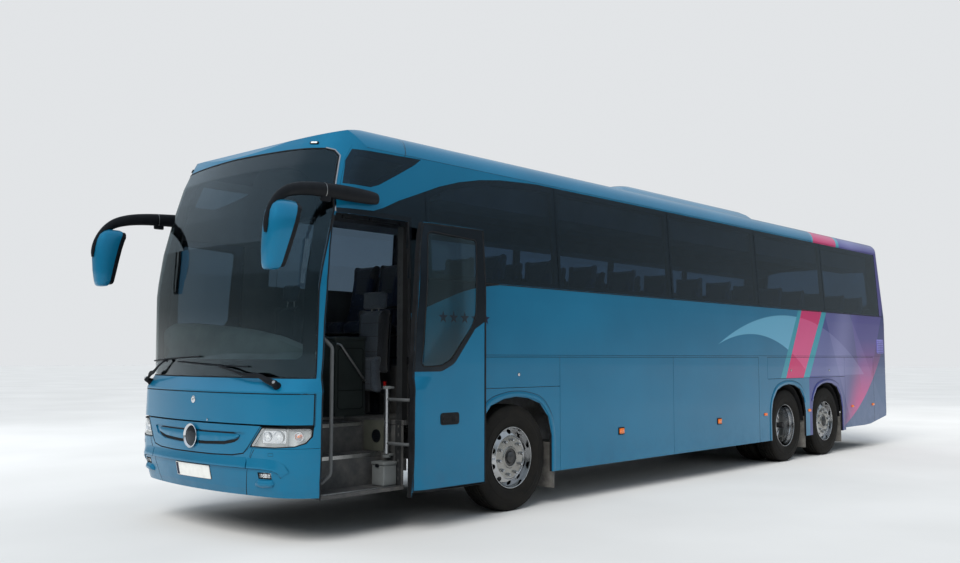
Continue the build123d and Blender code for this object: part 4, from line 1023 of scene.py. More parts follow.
# ---------------------------------------------------------------- mirrors on horn arms
mb = Build()
for s in (1, -1):
    pts = [(1.262, -1.800, 2.832), (1.264, -1.830, 2.832), (1.268, -1.95, 2.834), (1.275, -2.16, 2.836), (1.293, -2.36, 2.833), (1.313, -2.55, 2.822), (1.330, -2.70, 2.800),
           (1.345, -2.820, 2.762), (1.356, -2.905, 2.705), (1.364, -2.965, 2.635), (1.371, -3.005, 2.555), (1.376, -3.022, 2.480), (1.377, -3.026, 2.425)]
    wh = [(.012, .030), (.030, .050), (.034, .060), (.035, .064), (.034, .060), (.033, .056), (.032, .052), (.031, .046), (.030, .038), (.028, .030), (.025, .024), (.023, .019), (.012, .010)]
    P = smooth_path([A(s * x, y, z) for x, y, z in pts], 4)
    W = smooth_path([(a, c_, 0) for a, c_ in wh], 4)
    prof = circ_prof(1.0, 16)
    u = Vector((0, 0, 1))
    ups = []
    for i in range(len(P)):
        t_ = (P[min(i + 1, len(P) - 1)] - P[max(i - 1, 0)]).normalized()
        u = (u - t_ * u.dot(t_)).normalized()
        ups.append(u.copy())
    mb.add(sweep(P, prof, ups, scale=[(w.x, w.y) for w in W]), 0)
    # seam on the arm
    i = min(range(len(P)), key=lambda j: abs(P[j].y + YM + 2.43))
    mb.add(sweep([P[i] - (P[i + 1] - P[i]).normalized() * .002, P[i] + (P[i + 1] - P[i]).normalized() * .002], prof, [ups[i], ups[i]],
                 scale=[(W[i].x * 1.02 + .0006, W[i].y * 1.02 + .0006)] * 2), 3)
    # head: (z, middle x, half width, back y, depth)
    HEAD = [(2.148, 1.338, .034, -2.930, .040), (2.152, 1.338, .060, -2.920, .068), (2.166, 1.339, .076, -2.912, .088), (2.200, 1.342, .086, -2.904, .104), (2.300, 1.352, .100, -2.886, .132),
            (2.420, 1.365, .112, -2.860, .160), (2.520, 1.371, .116, -2.835, .180), (2.590, 1.369, .110, -2.812, .190), (2.640, 1.360, .096, -2.792, .188), (2.672, 1.352, .072, -2.782, .165),
            (2.690, 1.347, .036, -2.800, .110)]
    K = 25
    v, f = [], []
    for (z, cx, w, yb, d) in HEAD:
        for j in range(K):
            a = PI * j / (K - 1)
            ca, sa = math.cos(a), math.sin(a)
            x = cx + w * math.copysign(abs(ca) ** 0.72, ca)
            y = yb - d * abs(sa) ** 0.78
            v.append(A(s * x, y, z))
    L = len(HEAD)
    for i in range(L - 1):
        for j in range(K - 1):
            a, c_ = i * K + j, i * K + j + 1
            f.append((a, c_, c_ + K, a + K))
    f.append(tuple(range(K)))
    f.append(tuple((L - 1) * K + j for j in reversed(range(K))))
    for i in range(L - 1):
        f.append((i * K, (i + 1) * K, (i + 1) * K + K - 1, i * K + K - 1))
    mb.add((v, f), 1)
    # black rim and glass at the back
    rim = [(1.338 - .066, 2.174), (1.338 + .066, 2.174), (1.352 + .091, 2.300), (1.365 + .103, 2.440), (1.371 + .106, 2.540), (1.364 + .094, 2.625), (1.352 + .060, 2.668),
           (1.352 - .060, 2.668), (1.364 - .094, 2.625), (1.371 - .106, 2.540), (1.365 - .103, 2.440), (1.352 - .091, 2.300)]
    rim = rounded(rim, .035, 4)

    def back(a, z, o):
        yb = lerp_table([(2.148, -2.925), (2.2, -2.904), (2.3, -2.886), (2.42, -2.860), (2.52, -2.835), (2.59, -2.812), (2.64, -2.792), (2.69, -2.790)], z)
        return A(s * a, yb + o, z)
    mb.add(ridge(inset(rim, .004), back, bar_prof(.020, .048, .008), -.003, .03), 0)
    mb.add(plate(inset(rim, .006), back, .001, .030, .06), 0)
    mb.add(plate(inset(rim, .018), back, .030, .0330, .06), 2)
    mb.add(ridge([(1.272, 2.345), (1.440, 2.345)], back, bar_prof(.006, .006, .001), .0310, .05, closed=False), 0)
    # bracket on the near side of the arm's foot
    mb.add(rbox(A(s * 1.300, -2.40, 2.765), (.030, .10, .055), .012), 0)
mirr = mb.make("mirror_pair", [M_BLACK, M_PAINT, M_MIRROR, M_ALLOY_D], "body", 50, "body_paint")
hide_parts("mirrors")

# ---------------------------------------------------------------- wipers
wb = Build()


def wiper(piv, arm, bl):
    """pivot (x, z); arm points and blade points (x, z, off the glass)"""
    c = F(piv[0], piv[1], 0.0)
    n = (F(piv[0], piv[1], .01) - c).normalized()
    wb.add(lathe([(0.0, .034), (.010, .033), (.014, .027), (.030, .026), (.052, .025), (.062, .019), (.066, .008), (.0665, .0005)], c, n, 28), 0)
    wb.add(lathe([(.060, .016), (.068, .013), (.071, .006), (.0712, .0005)], c, n, 20), 1)
    pts = smooth_path([F(piv[0], piv[1], .040)] + [F(x, z, o) for x, z, o in arm], 5)
    ups = [(F(q.x, q.z, .01) - F(q.x, q.z, 0)).normalized() for q in pts]
    k = len(pts)
    sc = [(1.0 - 0.72 * min(1.0, i / (k * 0.72)), 1.0 - 0.5 * i / k) for i in range(k)]
    wb.add(sweep(pts, [(-.030, -.008), (.030, -.008), (.026, .006), (.016, .011), (-.016, .011), (-.026, .006)], ups, scale=sc), 0)
    bp = smooth_path([F(x, z, o) for x, z, o in bl], 6)
    ups = [(F(q.x, q.z, .01) - F(q.x, q.z, 0)).normalized() for q in bp]
    k = len(bp)
    sc = [(1.0, 0.45 + 0.55 * math.sin(PI * min(max((i + 1) / (k + 1), 0.02), 0.98)) ** 0.6) for i in range(k)]
    wb.add(sweep(bp, [(-.007, .000), (.007, .000), (.006, .010), (.002, .016), (-.002, .016), (-.006, .010)], ups, scale=sc), 0)
    wb.add(sweep([q - u_ * .010 for q, u_ in zip(bp, ups)], [(-.0022, -.002), (.0022, -.002), (.0018, .012), (-.0018, .012)], ups), 2)
    # clip between arm and blade
    e = arm[-1]
    wb.add(rbox(F(e[0], e[1], e[2] - .010), (.060, .020, .024), .005), 0)


wiper((.985, 1.256), [(.90, 1.275, .060), (.78, 1.305, .062), (.62, 1.345, .058), (.46, 1.382, .050), (.32, 1.408, .044)],
      [(.640, 1.408, .012), (.32, 1.416, .014), (-.04, 1.430, .014), (-.40, 1.446, .012)])
wiper((-.985, 1.256), [(-.93, 1.300, .060), (-.85, 1.350, .062), (-.74, 1.405, .058), (-.62, 1.455, .048)],
      [(-.98, 1.452, .012), (-.62, 1.470, .014), (-.34, 1.482, .014), (-.02, 1.492, .012)])
wip = wb.make("wiper_pair", [M_BLACK, M_ALLOY_D, M_RUBBER], "body", 50)
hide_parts("wipers")
# ---------------------------------------------------------------- wheels
TYRE_R, DRIVE_Y, TAG_Y = 0.515, 6.080, 7.430
M_TREAD = rubber("tyre_tread", (0.012, 0.0115, 0.011), 0.85)
M_DISC = metal("satin_wheel_face", (0.33, 0.325, 0.305), 0.24, dirt=0.30)
M_DARKM = metal("dark_hub", (0.10, 0.10, 0.10), 0.35)
SIDE_H = [(-.112, .288), (-.115, .302), (-.1235, .318), (-.128, .327), (-.1295, .330), (-.1300, .3335), (-.1370, .352), (-.1405, .372), (-.1425, .392), (-.1425, .398), (-.1438, .400),
          (-.1438, .4035), (-.1425, .4055), (-.1410, .425), (-.1390, .445), (-.1362, .458), (-.1358, .461), (-.1330, .468), (-.1300, .480), (-.1272, .489), (-.1258, .4895), (-.1230, .4930),
          (-.1225, .4985), (-.1180, .5030), (-.1120, .5070), (-.1020, .5095)]
GROOVES = [-.0810, -.0440, 0.0, .0440, .0810]


def tyre_profile():
    p = list(SIDE_H)
    for g_ in GROOVES:
        r_ = .515 - .0052 * (g_ / .1) ** 2 - (0.0008 if abs(g_) > .06 else 0)
        p += [(g_ - .0062, r_), (g_ - .0045, r_ - .013), (g_ + .0045, r_ - .013), (g_ + .0062, r_)]
    p += [(-a, c_) for a, c_ in reversed(SIDE_H)]
    return p + [(.092, .288), (.096, .306), (.116, .380), (.118, .450), (.090, .488), (-.090, .488), (-.118, .450), (-.116, .380), (-.096, .306), (-.092, .288)]


def tyre_shape(s, x, y):
    return lathe_closed(tyre_profile(), A(s * x, y, TYRE_R), (s, 0, 0), 128)


def polar(s, x, y, rm, h0, h1, r0, r1):
    """(arc length at rm, radius, off) on a cone between (h0, r0) and (h1, r1)"""
    def mp(u_, r_, o):
        th = u_ / rm
        h = h0 + (h1 - h0) * (r_ - r0) / (r1 - r0)
        return A(s * (x + h + o), y + r_ * math.cos(th) * s, TYRE_R + r_ * math.sin(th))
    return mp


def holed_ring(s, x, y, h0, h1, r0, r1, rc, ra, rb, n=10, t=0.008):
    """cone ring with n oval holes at radius rc"""
    rm = (r0 + r1) / 2
    L = PI * rm
    mp = polar(s, x, y, rm, h0, h1, r0, r1)
    holes = []
    for i in range(n):
        c_ = -L + 2 * L * (i + 0.5) / n
        holes.append([(c_ + ra * math.cos(2 * PI * k / 18), rc + rb * math.sin(2 * PI * k / 18)) for k in range(18)])
    return plate([(-L, min(r0, r1)), (L, min(r0, r1)), (L, max(r0, r1)), (-L, max(r0, r1))], mp, -t, 0.0, 0.019, holes)


def nuts(b, s, x, y, h, r_at, mat, n=10, k=1.0):
    for i in range(n):
        a = 2 * PI * (i + 0.25) / n
        c_ = A(s * (x + h), y + r_at * math.cos(a), TYRE_R + r_at * math.sin(a))
        b.add(lathe([(-.002, .0205 * k), (.003, .0200 * k), (.004, .0165 * k), (.012 * k, .0162 * k), (.020 * k, .0155 * k), (.028 * k, .0138 * k), (.034 * k, .0105 * k), (.038 * k, .0055 * k), (.0390 * k, .0004)],
                    c_, (s, 0, 0), 14), mat)


BARREL = [(-.122, .262), (-.122, .297), (-.116, .297), (-.114, .287), (-.090, .287), (-.060, .272), (.060, .272), (.090, .287), (.114, .287), (.112, .262), (.090, .262),
          (.060, .258), (-.060, .258), (-.090, .262)]
RIMS = [("front_left", 1, 0.0, 0), ("front_right", -1, 0.0, 0), ("drive_left", 1, DRIVE_Y, 1), ("drive_right", -1, DRIVE_Y, 1), ("tag_left", 1, TAG_Y, 0), ("tag_right", -1, TAG_Y, 0)]
for name, s, y, twin in RIMS:
    x = 1.086 if twin else 1.098
    ax = (s, 0, 0)
    c = A(s * x, y, TYRE_R)
    b = Build()
    b.add(tyre_shape(s, x, y))
    if twin:
        b.add(tyre_shape(s, 0.756, y))
    ty = b.make(name + "_tyre_detail", [M_TYRE], name + "_wheel", 34, "tyre")
    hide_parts(name + "_tyre")
    b = Build()
    lip = [(.1160, .2978), (.1205, .2985), (.1235, .2970), (.1240, .2935), (.1225, .2905), (.1180, .2890)]
    if twin:
        b.add(lathe(lip + [(.110, .2875), (.088, .2862), (.062, .2740), (.050, .2715), (-.060, .2690), (-.088, .2650), (-.098, .2600), (-.104, .2540)], c, ax, 72), 0)
        b.add(lathe([(-.104, .2540), (-.120, .2515), (-.138, .2440), (-.146, .2340)], c, ax, 72), 1)
        b.add(holed_ring(s, x, y, -.1460, -.1490, .2340, .1780, .2060, .0255, .0215), 1)
        b.add(lathe([(-.1490, .1780), (-.146, .1775), (-.146, .1500), (-.136, .1490), (-.122, .1475), (-.060, .1385), (-.050, .1290), (-.040, .1265), (-.024, .1180), (-.018, .1120), (-.018, .0900),
                     (-.012, .0850), (-.010, .0780), (-.010, .0400), (-.006, .0340), (-.005, .0005)], c, ax, 56), 2)
        b.add(lathe([(-.0205, .1130), (-.0140, .1110), (-.0140, .1010), (-.0205, .0990)], c, ax, 56), 3)
        nuts(b, s, x, y, -.147, .1640, 0, k=0.92)
        for i in range(8):
            a = 2 * PI * i / 8
            b.add(lathe([(-.020, .0075), (-.010, .0075), (-.008, .0055), (-.0078, .0003)], A(s * x, y + .104 * math.cos(a), TYRE_R + .104 * math.sin(a)), ax, 8), 3)
        b.add(lathe([(-.185, .250), (-.180, .235), (-.175, .060), (-.175, .001)], c, ax, 40), 3)
        ci = A(s * .756, y, TYRE_R)
        b.add(lathe_closed(BARREL, ci, ax, 48), 3)
        b.add(lathe([(.050, .262), (.118, .255), (.158, .236), (.162, .205), (.162, .040)], ci, ax, 40), 3)
    else:
        b.add(lathe(lip + [(.110, .2872), (.090, .2858), (.074, .2845), (.066, .2820)], c, ax, 72), 0)
        b.add(holed_ring(s, x, y, .0660, .0990, .2820, .2150, .2470, .0285, .0235), 0)
        b.add(lathe([(.0990, .2150), (.1015, .2125), (.1018, .2095), (.0990, .2070), (.0945, .2055), (.0925, .2030), (.0930, .1990)], c, ax, 72), 0)
        b.add(lathe([(.0930, .1990), (.0955, .1600), (.0970, .1300), (.0975, .1090), (.1000, .1060), (.1065, .1015), (.1085, .0960), (.1085, .0880), (.1050, .0845)], c, ax, 72), 1)
        b.add(lathe([(.1050, .0845), (.0990, .0815), (.0985, .0720), (.0990, .0630), (.1030, .0600)], c, ax, 56), 3)
        b.add(lathe([(.1030, .0600), (.1120, .0580), (.1180, .0540), (.1240, .0450), (.1275, .0380), (.1255, .0350), (.1235, .0300), (.1250, .0250), (.1290, .0180), (.1305, .0080), (.1308, .0005)], c, ax, 48), 3)
        nuts(b, s, x, y, .0945, .1675, 0)
        b.add(lathe_closed([(-.122, .262), (-.122, .297), (-.116, .297), (-.114, .287), (-.090, .287), (-.060, .272), (.045, .272), (.060, .270), (.045, .262), (-.060, .258), (-.090, .262)], c, ax, 48), 3)
        b.add(lathe([(-.020, .255), (.010, .235), (.020, .210), (.020, .001)], c, ax, 40), 3)
        # valve
        a = 0.9
        b.add(tube([A(s * (x + .070), y + .268 * math.cos(a), TYRE_R + .268 * math.sin(a)), A(s * (x + .100), y + .262 * math.cos(a), TYRE_R + .262 * math.sin(a)),
                    A(s * (x + .112), y + .259 * math.cos(a), TYRE_R + .259 * math.sin(a))], .004, 8), 3)
    rim = b.make(name + "_rim_detail", [M_ALLOY, M_DISC, M_ALLOY_D, M_DARKM], name + "_wheel", 30, "wheel_steel")
    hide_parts(name + "_rim")

# ---------------------------------------------------------------- sides: arch lips, strips, marker lamps, locks
def arch_line(y, g_):
    h, top = .560 + g_, 1.105 + g_
    return [(y - h, .336), (y - h, .700), (y - h * .90, .890), (y - h * .66, 1.030), (y - h * .33, top - .018), (y, top), (y + h * .33, top - .018), (y + h * .66, 1.030), (y + h * .90, .890),
            (y + h, .700), (y + h, .336)]


def smooth2(pts, n=4):
    """rounded course through the points, ends kept"""
    q = smooth_path([(a, b_, 0) for a, b_ in pts], n)
    return [(p.x, p.y) for p in q]


b, dk = Build(), Build()
ARCH_LIPS = [(0.0, .336, .336), (DRIVE_Y, .336, .70), (TAG_Y, .70, .343)]
for s in (1, -1):
    mp = side_map(s)
    for y, zf, zr in ARCH_LIPS:
        h = .560
        inner = [p for p in arch_line(y, 0.002)]
        inner[0] = (inner[0][0], zf)
        inner[-1] = (inner[-1][0], zr)
        if s > 0 and y == 0.0:
            inner[0] = (inner[0][0], .380)
        mid = smooth2([(a + (.026 if a > y + .45 else (-.026 if a < y - .45 else (a - y) * .05)), z + (.026 if z > .8 else 0) * (1 if z > 1.02 else .6)) for a, z in inner], 3)
        if y == DRIVE_Y:
            mid = [p for p in mid if not (p[0] > y + .53 and p[1] < .80)]
        if y == TAG_Y:
            mid = [p for p in mid if not (p[0] < y - .53 and p[1] < .80)]
        k = len(mid)
        path = [mp(a, z, -.0005) for a, z in mid]
        b.add(sweep(path, bar_prof(.048, .0075, .004), [Vector((s, 0, 0))] * k))
        outl = smooth2([(a + (.052 if a > y + .45 else (-.052 if a < y - .45 else (a - y) * .10)), z + (.053 if z > .8 else 0) * (1 if z > 1.02 else .6)) for a, z in inner], 3)
        if y == DRIVE_Y:
            outl = [p for p in outl if not (p[0] > y + .53 and p[1] < .80)]
        if y == TAG_Y:
            outl = [p for p in outl if not (p[0] < y - .53 and p[1] < .80)]
        dk.add(sweep([mp(a, z, -.0005) for a, z in outl], bar_prof(.0045, .0012, .0003), [Vector((s, 0, 0))] * len(outl)))
    # strip above the flaps
    b.add(ridge([(-.452, 1.5015), (9.870, 1.5015)], mp, bar_prof(.013, .0030, .001), -.0004, .4, closed=False))
    dk.add(ridge([(-.452, 1.5100), (9.870, 1.5100)], mp, bar_prof(.0035, .0012, .0003), -.0004, .4, closed=False))
    # black strip under the windows
    dk.add(ridge([(-1.400, 2.1885), (9.870, 2.1885)], mp, bar_prof(.011, .0016, .0004), -.0006, .3, closed=False))
b.make("arch_lips_and_strips", [M_PAINT], "body", 50)
dk.make("side_dark_lines", [M_RUBBER], "body")


def marker(name, body, y, z, w, h, base):
    for s, side in ((1, "left"), (-1, "right")):
        mp = side_map(s)
        b = Build()
        if base:
            b.add(plate(rounded([(y - w / 2 - .014, z - h / 2 - .012), (y + w / 2 + .014, z - h / 2 - .012), (y + w / 2 + .014, z + h / 2 + .012), (y - w / 2 - .014, z + h / 2 + .012)], .008, 3),
                        mp, -.0005, .006, .03), 1)
        b.add(plate(rounded([(y - w / 2, z - h / 2), (y + w / 2, z - h / 2), (y + w / 2, z + h / 2), (y - w / 2, z + h / 2)], .008, 3), mp, .0, .014, .015, dome=.006), 0)
        b.make("%s_%s" % (name, side), [M_ORANGE, M_BLACK], body.replace("#", side), 40, "lamp_glass")


marker("marker_1", "bay_door_front_#", 1.810, .674, .085, .058, True)
marker("marker_2", "bay_door_rear_#", 4.030, .674, .085, .058, True)
marker("marker_3", "body", 5.330, .705, .075, .036, False)
marker("marker_4", "body", 6.765, .705, .070, .040, False)
marker("marker_5", "engine_side_door_#", 8.410, .705, .075, .036, False)
marker("marker_6", "engine_side_door_#", 9.290, .705, .075, .036, False)


def lock(name, body, y, z):
    for s, side in ((1, "left"), (-1, "right")):
        mp = side_map(s)
        b = Build()
        b.add(lathe([(0, .015), (.002, .0148), (.003, .012), (.0025, .010), (.0032, .0085), (.0032, .0004)], mp(y, z, 0), (s, 0, 0), 24), 0)
        b.add(rbox(mp(y, z, .0038), (.0016, .0025, .011), .0006), 1)
        b.add(lathe([(0, .0185), (.0015, .0182), (.0015, .0150)], mp(y, z, 0), (s, 0, 0), 24), 1)
        b.make("%s_%s" % (name, side), [M_CHROME, M_BLACK], body.replace("#", side), 35)


lock("lock_fuel", "fuel_flap_#", .045, 1.320)
lock("lock_arch_1", "arch_flap_#", 6.170, 1.300)
lock("lock_arch_2", "arch_flap_#", 7.520, 1.290)

# five plain stars behind the doorway
b = Build()
for y in (-1.022, -.885, -.738, -.592, -.445):
    for s in (1, -1):
        mp = side_map(s)
        pts = []
        for i in range(10):
            r_ = .062 if i % 2 == 0 else .0245
            a = PI / 2 + i * PI / 5
            pts.append((y + r_ * math.cos(a), 1.850 + r_ * math.sin(a)))
        b.add(plate(pts, mp, -.0003, .0009, .05))
b.make("side_stars", [M_NAVY], "body")
# the dark band under the windows sweeps down to the doorway
SWEEP = [(-1.392, 1.882), (-1.331, 1.903), (-1.219, 1.938), (-1.109, 1.979), (-.981, 2.024), (-.866, 2.065), (-.749, 2.101), (-.621, 2.131), (-.500, 2.153), (-.380, 2.170), (-.250, 2.184)]
b = Build()
for s in (1, -1):
    b.add(plate(SWEEP + [(-.250, 2.199), (-1.392, 2.199)], side_map(s), -.0004, .0008, .05), 0)
    b.add(ridge(SWEEP, side_map(s), bar_prof(.006, .0016, .0005), -.0003, .05, closed=False), 1)
b.make("belt_sweeps", [M_BLACKGLOSS, M_RUBBER], "body", 40)
# small marker lamps on the front roof edge
b = Build()
for s in (1, -1):
    b.add(plate(rounded([(s * .915, 3.284), (s * .985, 3.280), (s * .985, 3.300), (s * .915, 3.304)], .006, 3), F, -.0005, .010, .02), 1)
    b.add(plate(rounded([(s * .925, 3.2865), (s * .976, 3.2835), (s * .976, 3.297), (s * .925, 3.3005)], .005, 3), F, .009, .0125, .02), 0)
b.make("roof_marker_lamps", [M_WHITE_LENS, M_BLACK], "body")

# ---------------------------------------------------------------- passenger door leaf
def leaf_x(y, z):
    hw = half_width(z)
    yc, R, r = lerp_table(NOSE, z), NOSE_R, CORNER_R
    yb = yc + R - math.sqrt((R - r) ** 2 - (hw - r) ** 2)
    if y >= yb:
        return hw, Vector((1, 0, 0))
    d = min(r - 1e-4, yb - y)
    w = math.sqrt(r * r - d * d)
    return hw - r + w, Vector((w, -d, 0)).normalized()


def D(y, z, o=0.0):
    """on the leaf; y as when the door is shut"""
    x, n = leaf_x(y, z)
    return Vector((x, y - YM, z)) + n * o + Vector((.170, .825, 0))


front_edge = [(p[1] + .014, p[0]) for p in [(0.352, -2.349), (.500, -2.361), (.850, -2.361), (1.150, -2.357), (1.465, -2.337), (1.790, -2.329), (2.110, -2.309), (2.400, -2.277), (2.570, -2.247), (2.655, -2.222)]]
edge = front_edge + [(-1.4605, 2.663), (-1.4605, .352)]
b = Build()
b.add(ridge(edge, D, bar_prof(.012, .006, .002), -.0010, .06), 1)
b.add(ridge([(-1.4655, .36), (-1.4655, 2.655)], D, bar_prof(.016, .004, .001), -.0006, .2, closed=False), 1)
VIS = rounded([(-2.262, 1.408), (-2.040, 1.412), (-1.900, 1.470), (-1.655, 1.755), (-1.598, 1.860), (-1.562, 2.562), (-2.175, 2.592)], [.03, .12, .14, .10, .08, .04, .05], 7)
up_edge = [(z, a) for a, z in front_edge]


def on_leaf(p):
    """a point kept inside the leaf's outline"""
    z = min(2.667, p[1])
    return max(lerp_table(up_edge, z) - .011, min(-1.457, p[0])), z


fill_ = [on_leaf(p) for p in rounded([(-2.275, 1.375), (-1.775, 1.415), (-1.525, 1.785), (-1.495, 2.600), (-2.215, 2.606)], .03, 4)]
b.add(plate(fill_, D, .0002, .0014, .06, [VIS]), 3)
sur = [on_leaf((-2.60, p[1]) if p[0] < -2.215 else ((-1.40, p[1]) if p[0] > -1.640 and p[1] > 1.80 else ((p[0], 2.70) if p[1] > 2.60 else p))) for p in inset(VIS, -.046)]
sur = [p for i_, p in enumerate(sur) if i_ == 0 or math.dist(p, sur[i_ - 1]) > .004]
b.add(plate(sur, D, .0014, .0030, .06, [VIS]), 0)
b.add(plate([on_leaf(p) for p in [(-2.36, 2.575), (-1.40, 2.555), (-1.40, 2.70), (-2.36, 2.70)]], D, .0014, .0028, .06), 0)
b.add(ridge(VIS, D, bar_prof(.012, .006, .003), .0012, .04), 1)
# door bottom seal
b.add(ridge([(-2.328, .352), (-1.462, .352)], D, bar_prof(.018, .006, .002), -.001, .1, closed=False), 1)
# handle: rounded recess plate with grip and lock
hp = rounded([(-2.045, .898), (-1.812, .898), (-1.812, 1.003), (-2.045, 1.003)], .026, 5)
b.add(plate(hp, D, -.0004, .0050, .03, dome=.003), 1)
b.add(plate(rounded([(-2.030, .918), (-1.905, .918), (-1.905, .985), (-2.030, .985)], .016, 4), D, .0070, .0086, .03), 2)
b.add(ridge(rounded([(-2.030, .918), (-1.905, .918), (-1.905, .985), (-2.030, .985)], .016, 4), D, bar_prof(.006, .006, .002), .006, .03), 1)
b.add(plate(rounded([(-2.020, .940), (-1.915, .940), (-1.915, .965), (-2.020, .965)], .008, 3), D, .0080, .0150, .03), 1)
b.add(lathe([(.006, .024), (.011, .0235), (.013, .020), (.012, .014), (.0135, .012), (.0135, .0004)], D(-1.858, .951, 0), (1, 0, 0), 28), 2)
b.make("door_outer_trim", [M_BLACKGLOSS, M_RUBBER, M_SOOT, M_PAINT], "door_leaf", 40)


# the driver's side window has the same black border
def RW(y, z, o=0.0):
    x, n = leaf_x(y, z)
    return Vector((-x - n.x * o, y - YM + n.y * o, z))


b = Build()
VIS_R = rounded([(-2.200, 1.722), (-1.880, 1.706), (-1.700, 1.748), (-1.604, 1.860), (-1.562, 2.562), (-2.168, 2.592)], [.03, .12, .10, .07, .04, .05], 7)
FRONT_R = [(lerp_table(up_edge, z) - .011, z) for z in (2.684, 2.57, 2.40, 2.25, 2.11, 1.95, 1.80, 1.657)]
b.add(plate([(-2.214, 1.625), (-1.455, 1.625), (-1.455, 1.900), (-1.580, 1.900), (-1.598, 1.850), (-1.700, 1.735), (-1.880, 1.690), (-2.214, 1.700)], RW, .0003, .0011, .06), 2)
b.add(plate(FRONT_R + [(-1.860, 1.642), (-1.700, 1.660), (-1.590, 1.722), (-1.490, 1.803), (-1.392, 1.882), (-1.392, 2.684)], RW, .0011, .0024, .06, [VIS_R]), 0)
b.add(ridge(VIS_R, RW, bar_prof(.012, .005, .002), .0006, .04), 1)
b.make("driver_window_border", [M_BLACKGLOSS, M_RUBBER, M_PAINT], "body", 40)
# black strip over the doorway and down its rear edge, and its mirror image
b = Build()
for s in (1, -1):
    def SW(y, z, o=0.0):
        x, n = leaf_x(y, z)
        return Vector((s * (x + n.x * o), y - YM + n.y * o, z))
    b.add(plate([(-2.212, 2.6810), (-1.4190, 2.6810), (-1.4190, 1.8740), (-1.3900, 1.8850), (-1.3900, 2.7230), (-2.226, 2.7230)], SW, -.0004, .0012, .05), 0)
b.make("doorway_dark_strips", [M_BLACKGLOSS], "body", 40)
# inner door lining: black frame, grab bar
b = Build()
inn = [(-2.31, .40), (-2.33, .90), (-2.31, 1.35), (-1.99, 1.36), (-1.62, 1.74), (-1.50, 1.85), (-1.50, .40)]


def DI(y, z, o=0.0):
    return Vector((1.275 - .051 - o, y - YM, z)) + Vector((.170, .825, 0))


inn = [(max(a, -2.225), z) for a, z in inn]
b.add(plate(rounded(inn, .02, 3), DI, -.0008, .0030, .12), 0)
b.add(tube(smooth_path([A(1.224 + .170, -2.12 + .825, 1.25), A(1.185 + .170, -2.12 + .825, 1.235), A(1.170 + .170, -2.12 + .825, 1.10), A(1.170 + .170, -2.12 + .825, .80), A(1.185 + .170, -2.12 + .825, .665), A(1.224 + .170, -2.12 + .825, .65)], 6), .014, 10), 1)
b.make("door_inner_trim", [M_TRIM, M_BLACK], "door_leaf", 40)
# ---------------------------------------------------------------- doorway
M_COLUMN = plastic("door_column_black", (0.018, 0.019, 0.020), 0.42)
M_CONSOLE = plastic("console_dark_green", (0.030, 0.038, 0.036), 0.48)
M_GREYBOX = plastic("step_box_grey", (0.13, 0.14, 0.14), 0.60)
M_OLIVE = plastic("well_panel_olive", (0.075, 0.078, 0.062), 0.62)
M_NOSING = metal("step_nosing", (0.62, 0.62, 0.60), 0.38, brushed=(0.02, 1, 1), dirt=0.35)


def leaf_rule(c, n):
    xs, nn = leaf_x(c.y + YM - .825, c.z)
    if abs(c.x - .170 - xs) < .012 and n.x > 0.1:
        return 0
    return 1 if abs(n.x) < 0.6 else 2


paint_faces("passenger_door", [M_PAINT, M_RUBBER, M_TRIM], leaf_rule)
paint_faces("door_swing_arm", [M_STEEL, M_TRIM], lambda c, n: 0 if math.hypot(c.x - 1.060, c.y + YM + 1.500) < .032 else 1)
paint_faces("grab_rails", [M_TRIM, M_CONSOLE, M_COLUMN], lambda c, n: 1 if c.x < .6 else (2 if c.y + YM > -1.6 else 0))


def well(a, z, o=0.0):
    """on the rear wall of the stairwell, seen from the front"""
    return A(a, -1.4465 - o, z)


b = Build()
for z0_, z1_, dy_ in ((.386, .938, 0.0), (.944, 2.636, -.0100)):
    mp = lambda a, z, o=0.0: A(a, -1.4465 - dy_ - o, z)
    holes = [[(1.154 + .011 * math.cos(2 * PI * k / 12), z + .016 * math.sin(2 * PI * k / 12)) for k in range(12)] for z in [z0_ + .055 + .075 * i for i in range(int((z1_ - z0_ - .08) / .075) + 1)]]
    b.add(plate([(1.120, z0_), (1.188, z0_), (1.188, z1_), (1.120, z1_)], mp, .0, .0030, .20, holes), 0)
    for xx in (1.1215, 1.1865):
        b.add(sweep([mp(xx, z0_, .0022), mp(xx, z1_, .0022)], bar_prof(.006, .0025, .001), [Vector((0, -1, 0))] * 2), 0)
b.make("door_column_cover", [M_COLUMN], "body", 40)
b = Build()
rod = [(leaf_x(yy, 2.652)[0] - .078, yy) for yy in (-2.10, -1.95, -1.80, -1.65, -1.47)]
b.add(tube([A(xx, yy, 2.652) for xx, yy in rod], .005, 10), 1)
for xx, yy in rod[::2]:
    b.add(rbox(A(xx, yy, 2.662), (.016, .022, .030), .003), 1)
b.make("door_header_rod", [M_CHROME, M_BLACK], "body", 40)
# brackets that carry the swing post
b = Build()
for z in (.640, 1.222):
    b.add(rbox(A(1.066, -1.474, z), (.072, .052, .020), .005), 0)
    b.add(lathe([(-.012, .036), (.012, .036), (.014, .033), (.014, .001)], A(1.060, -1.500, z + (-.010 if z < 1 else .0)), (0, 0, 1 if z > 1 else -1), 24), 0)
b.make("swing_post_brackets", [M_GREYBOX], "body", 40)
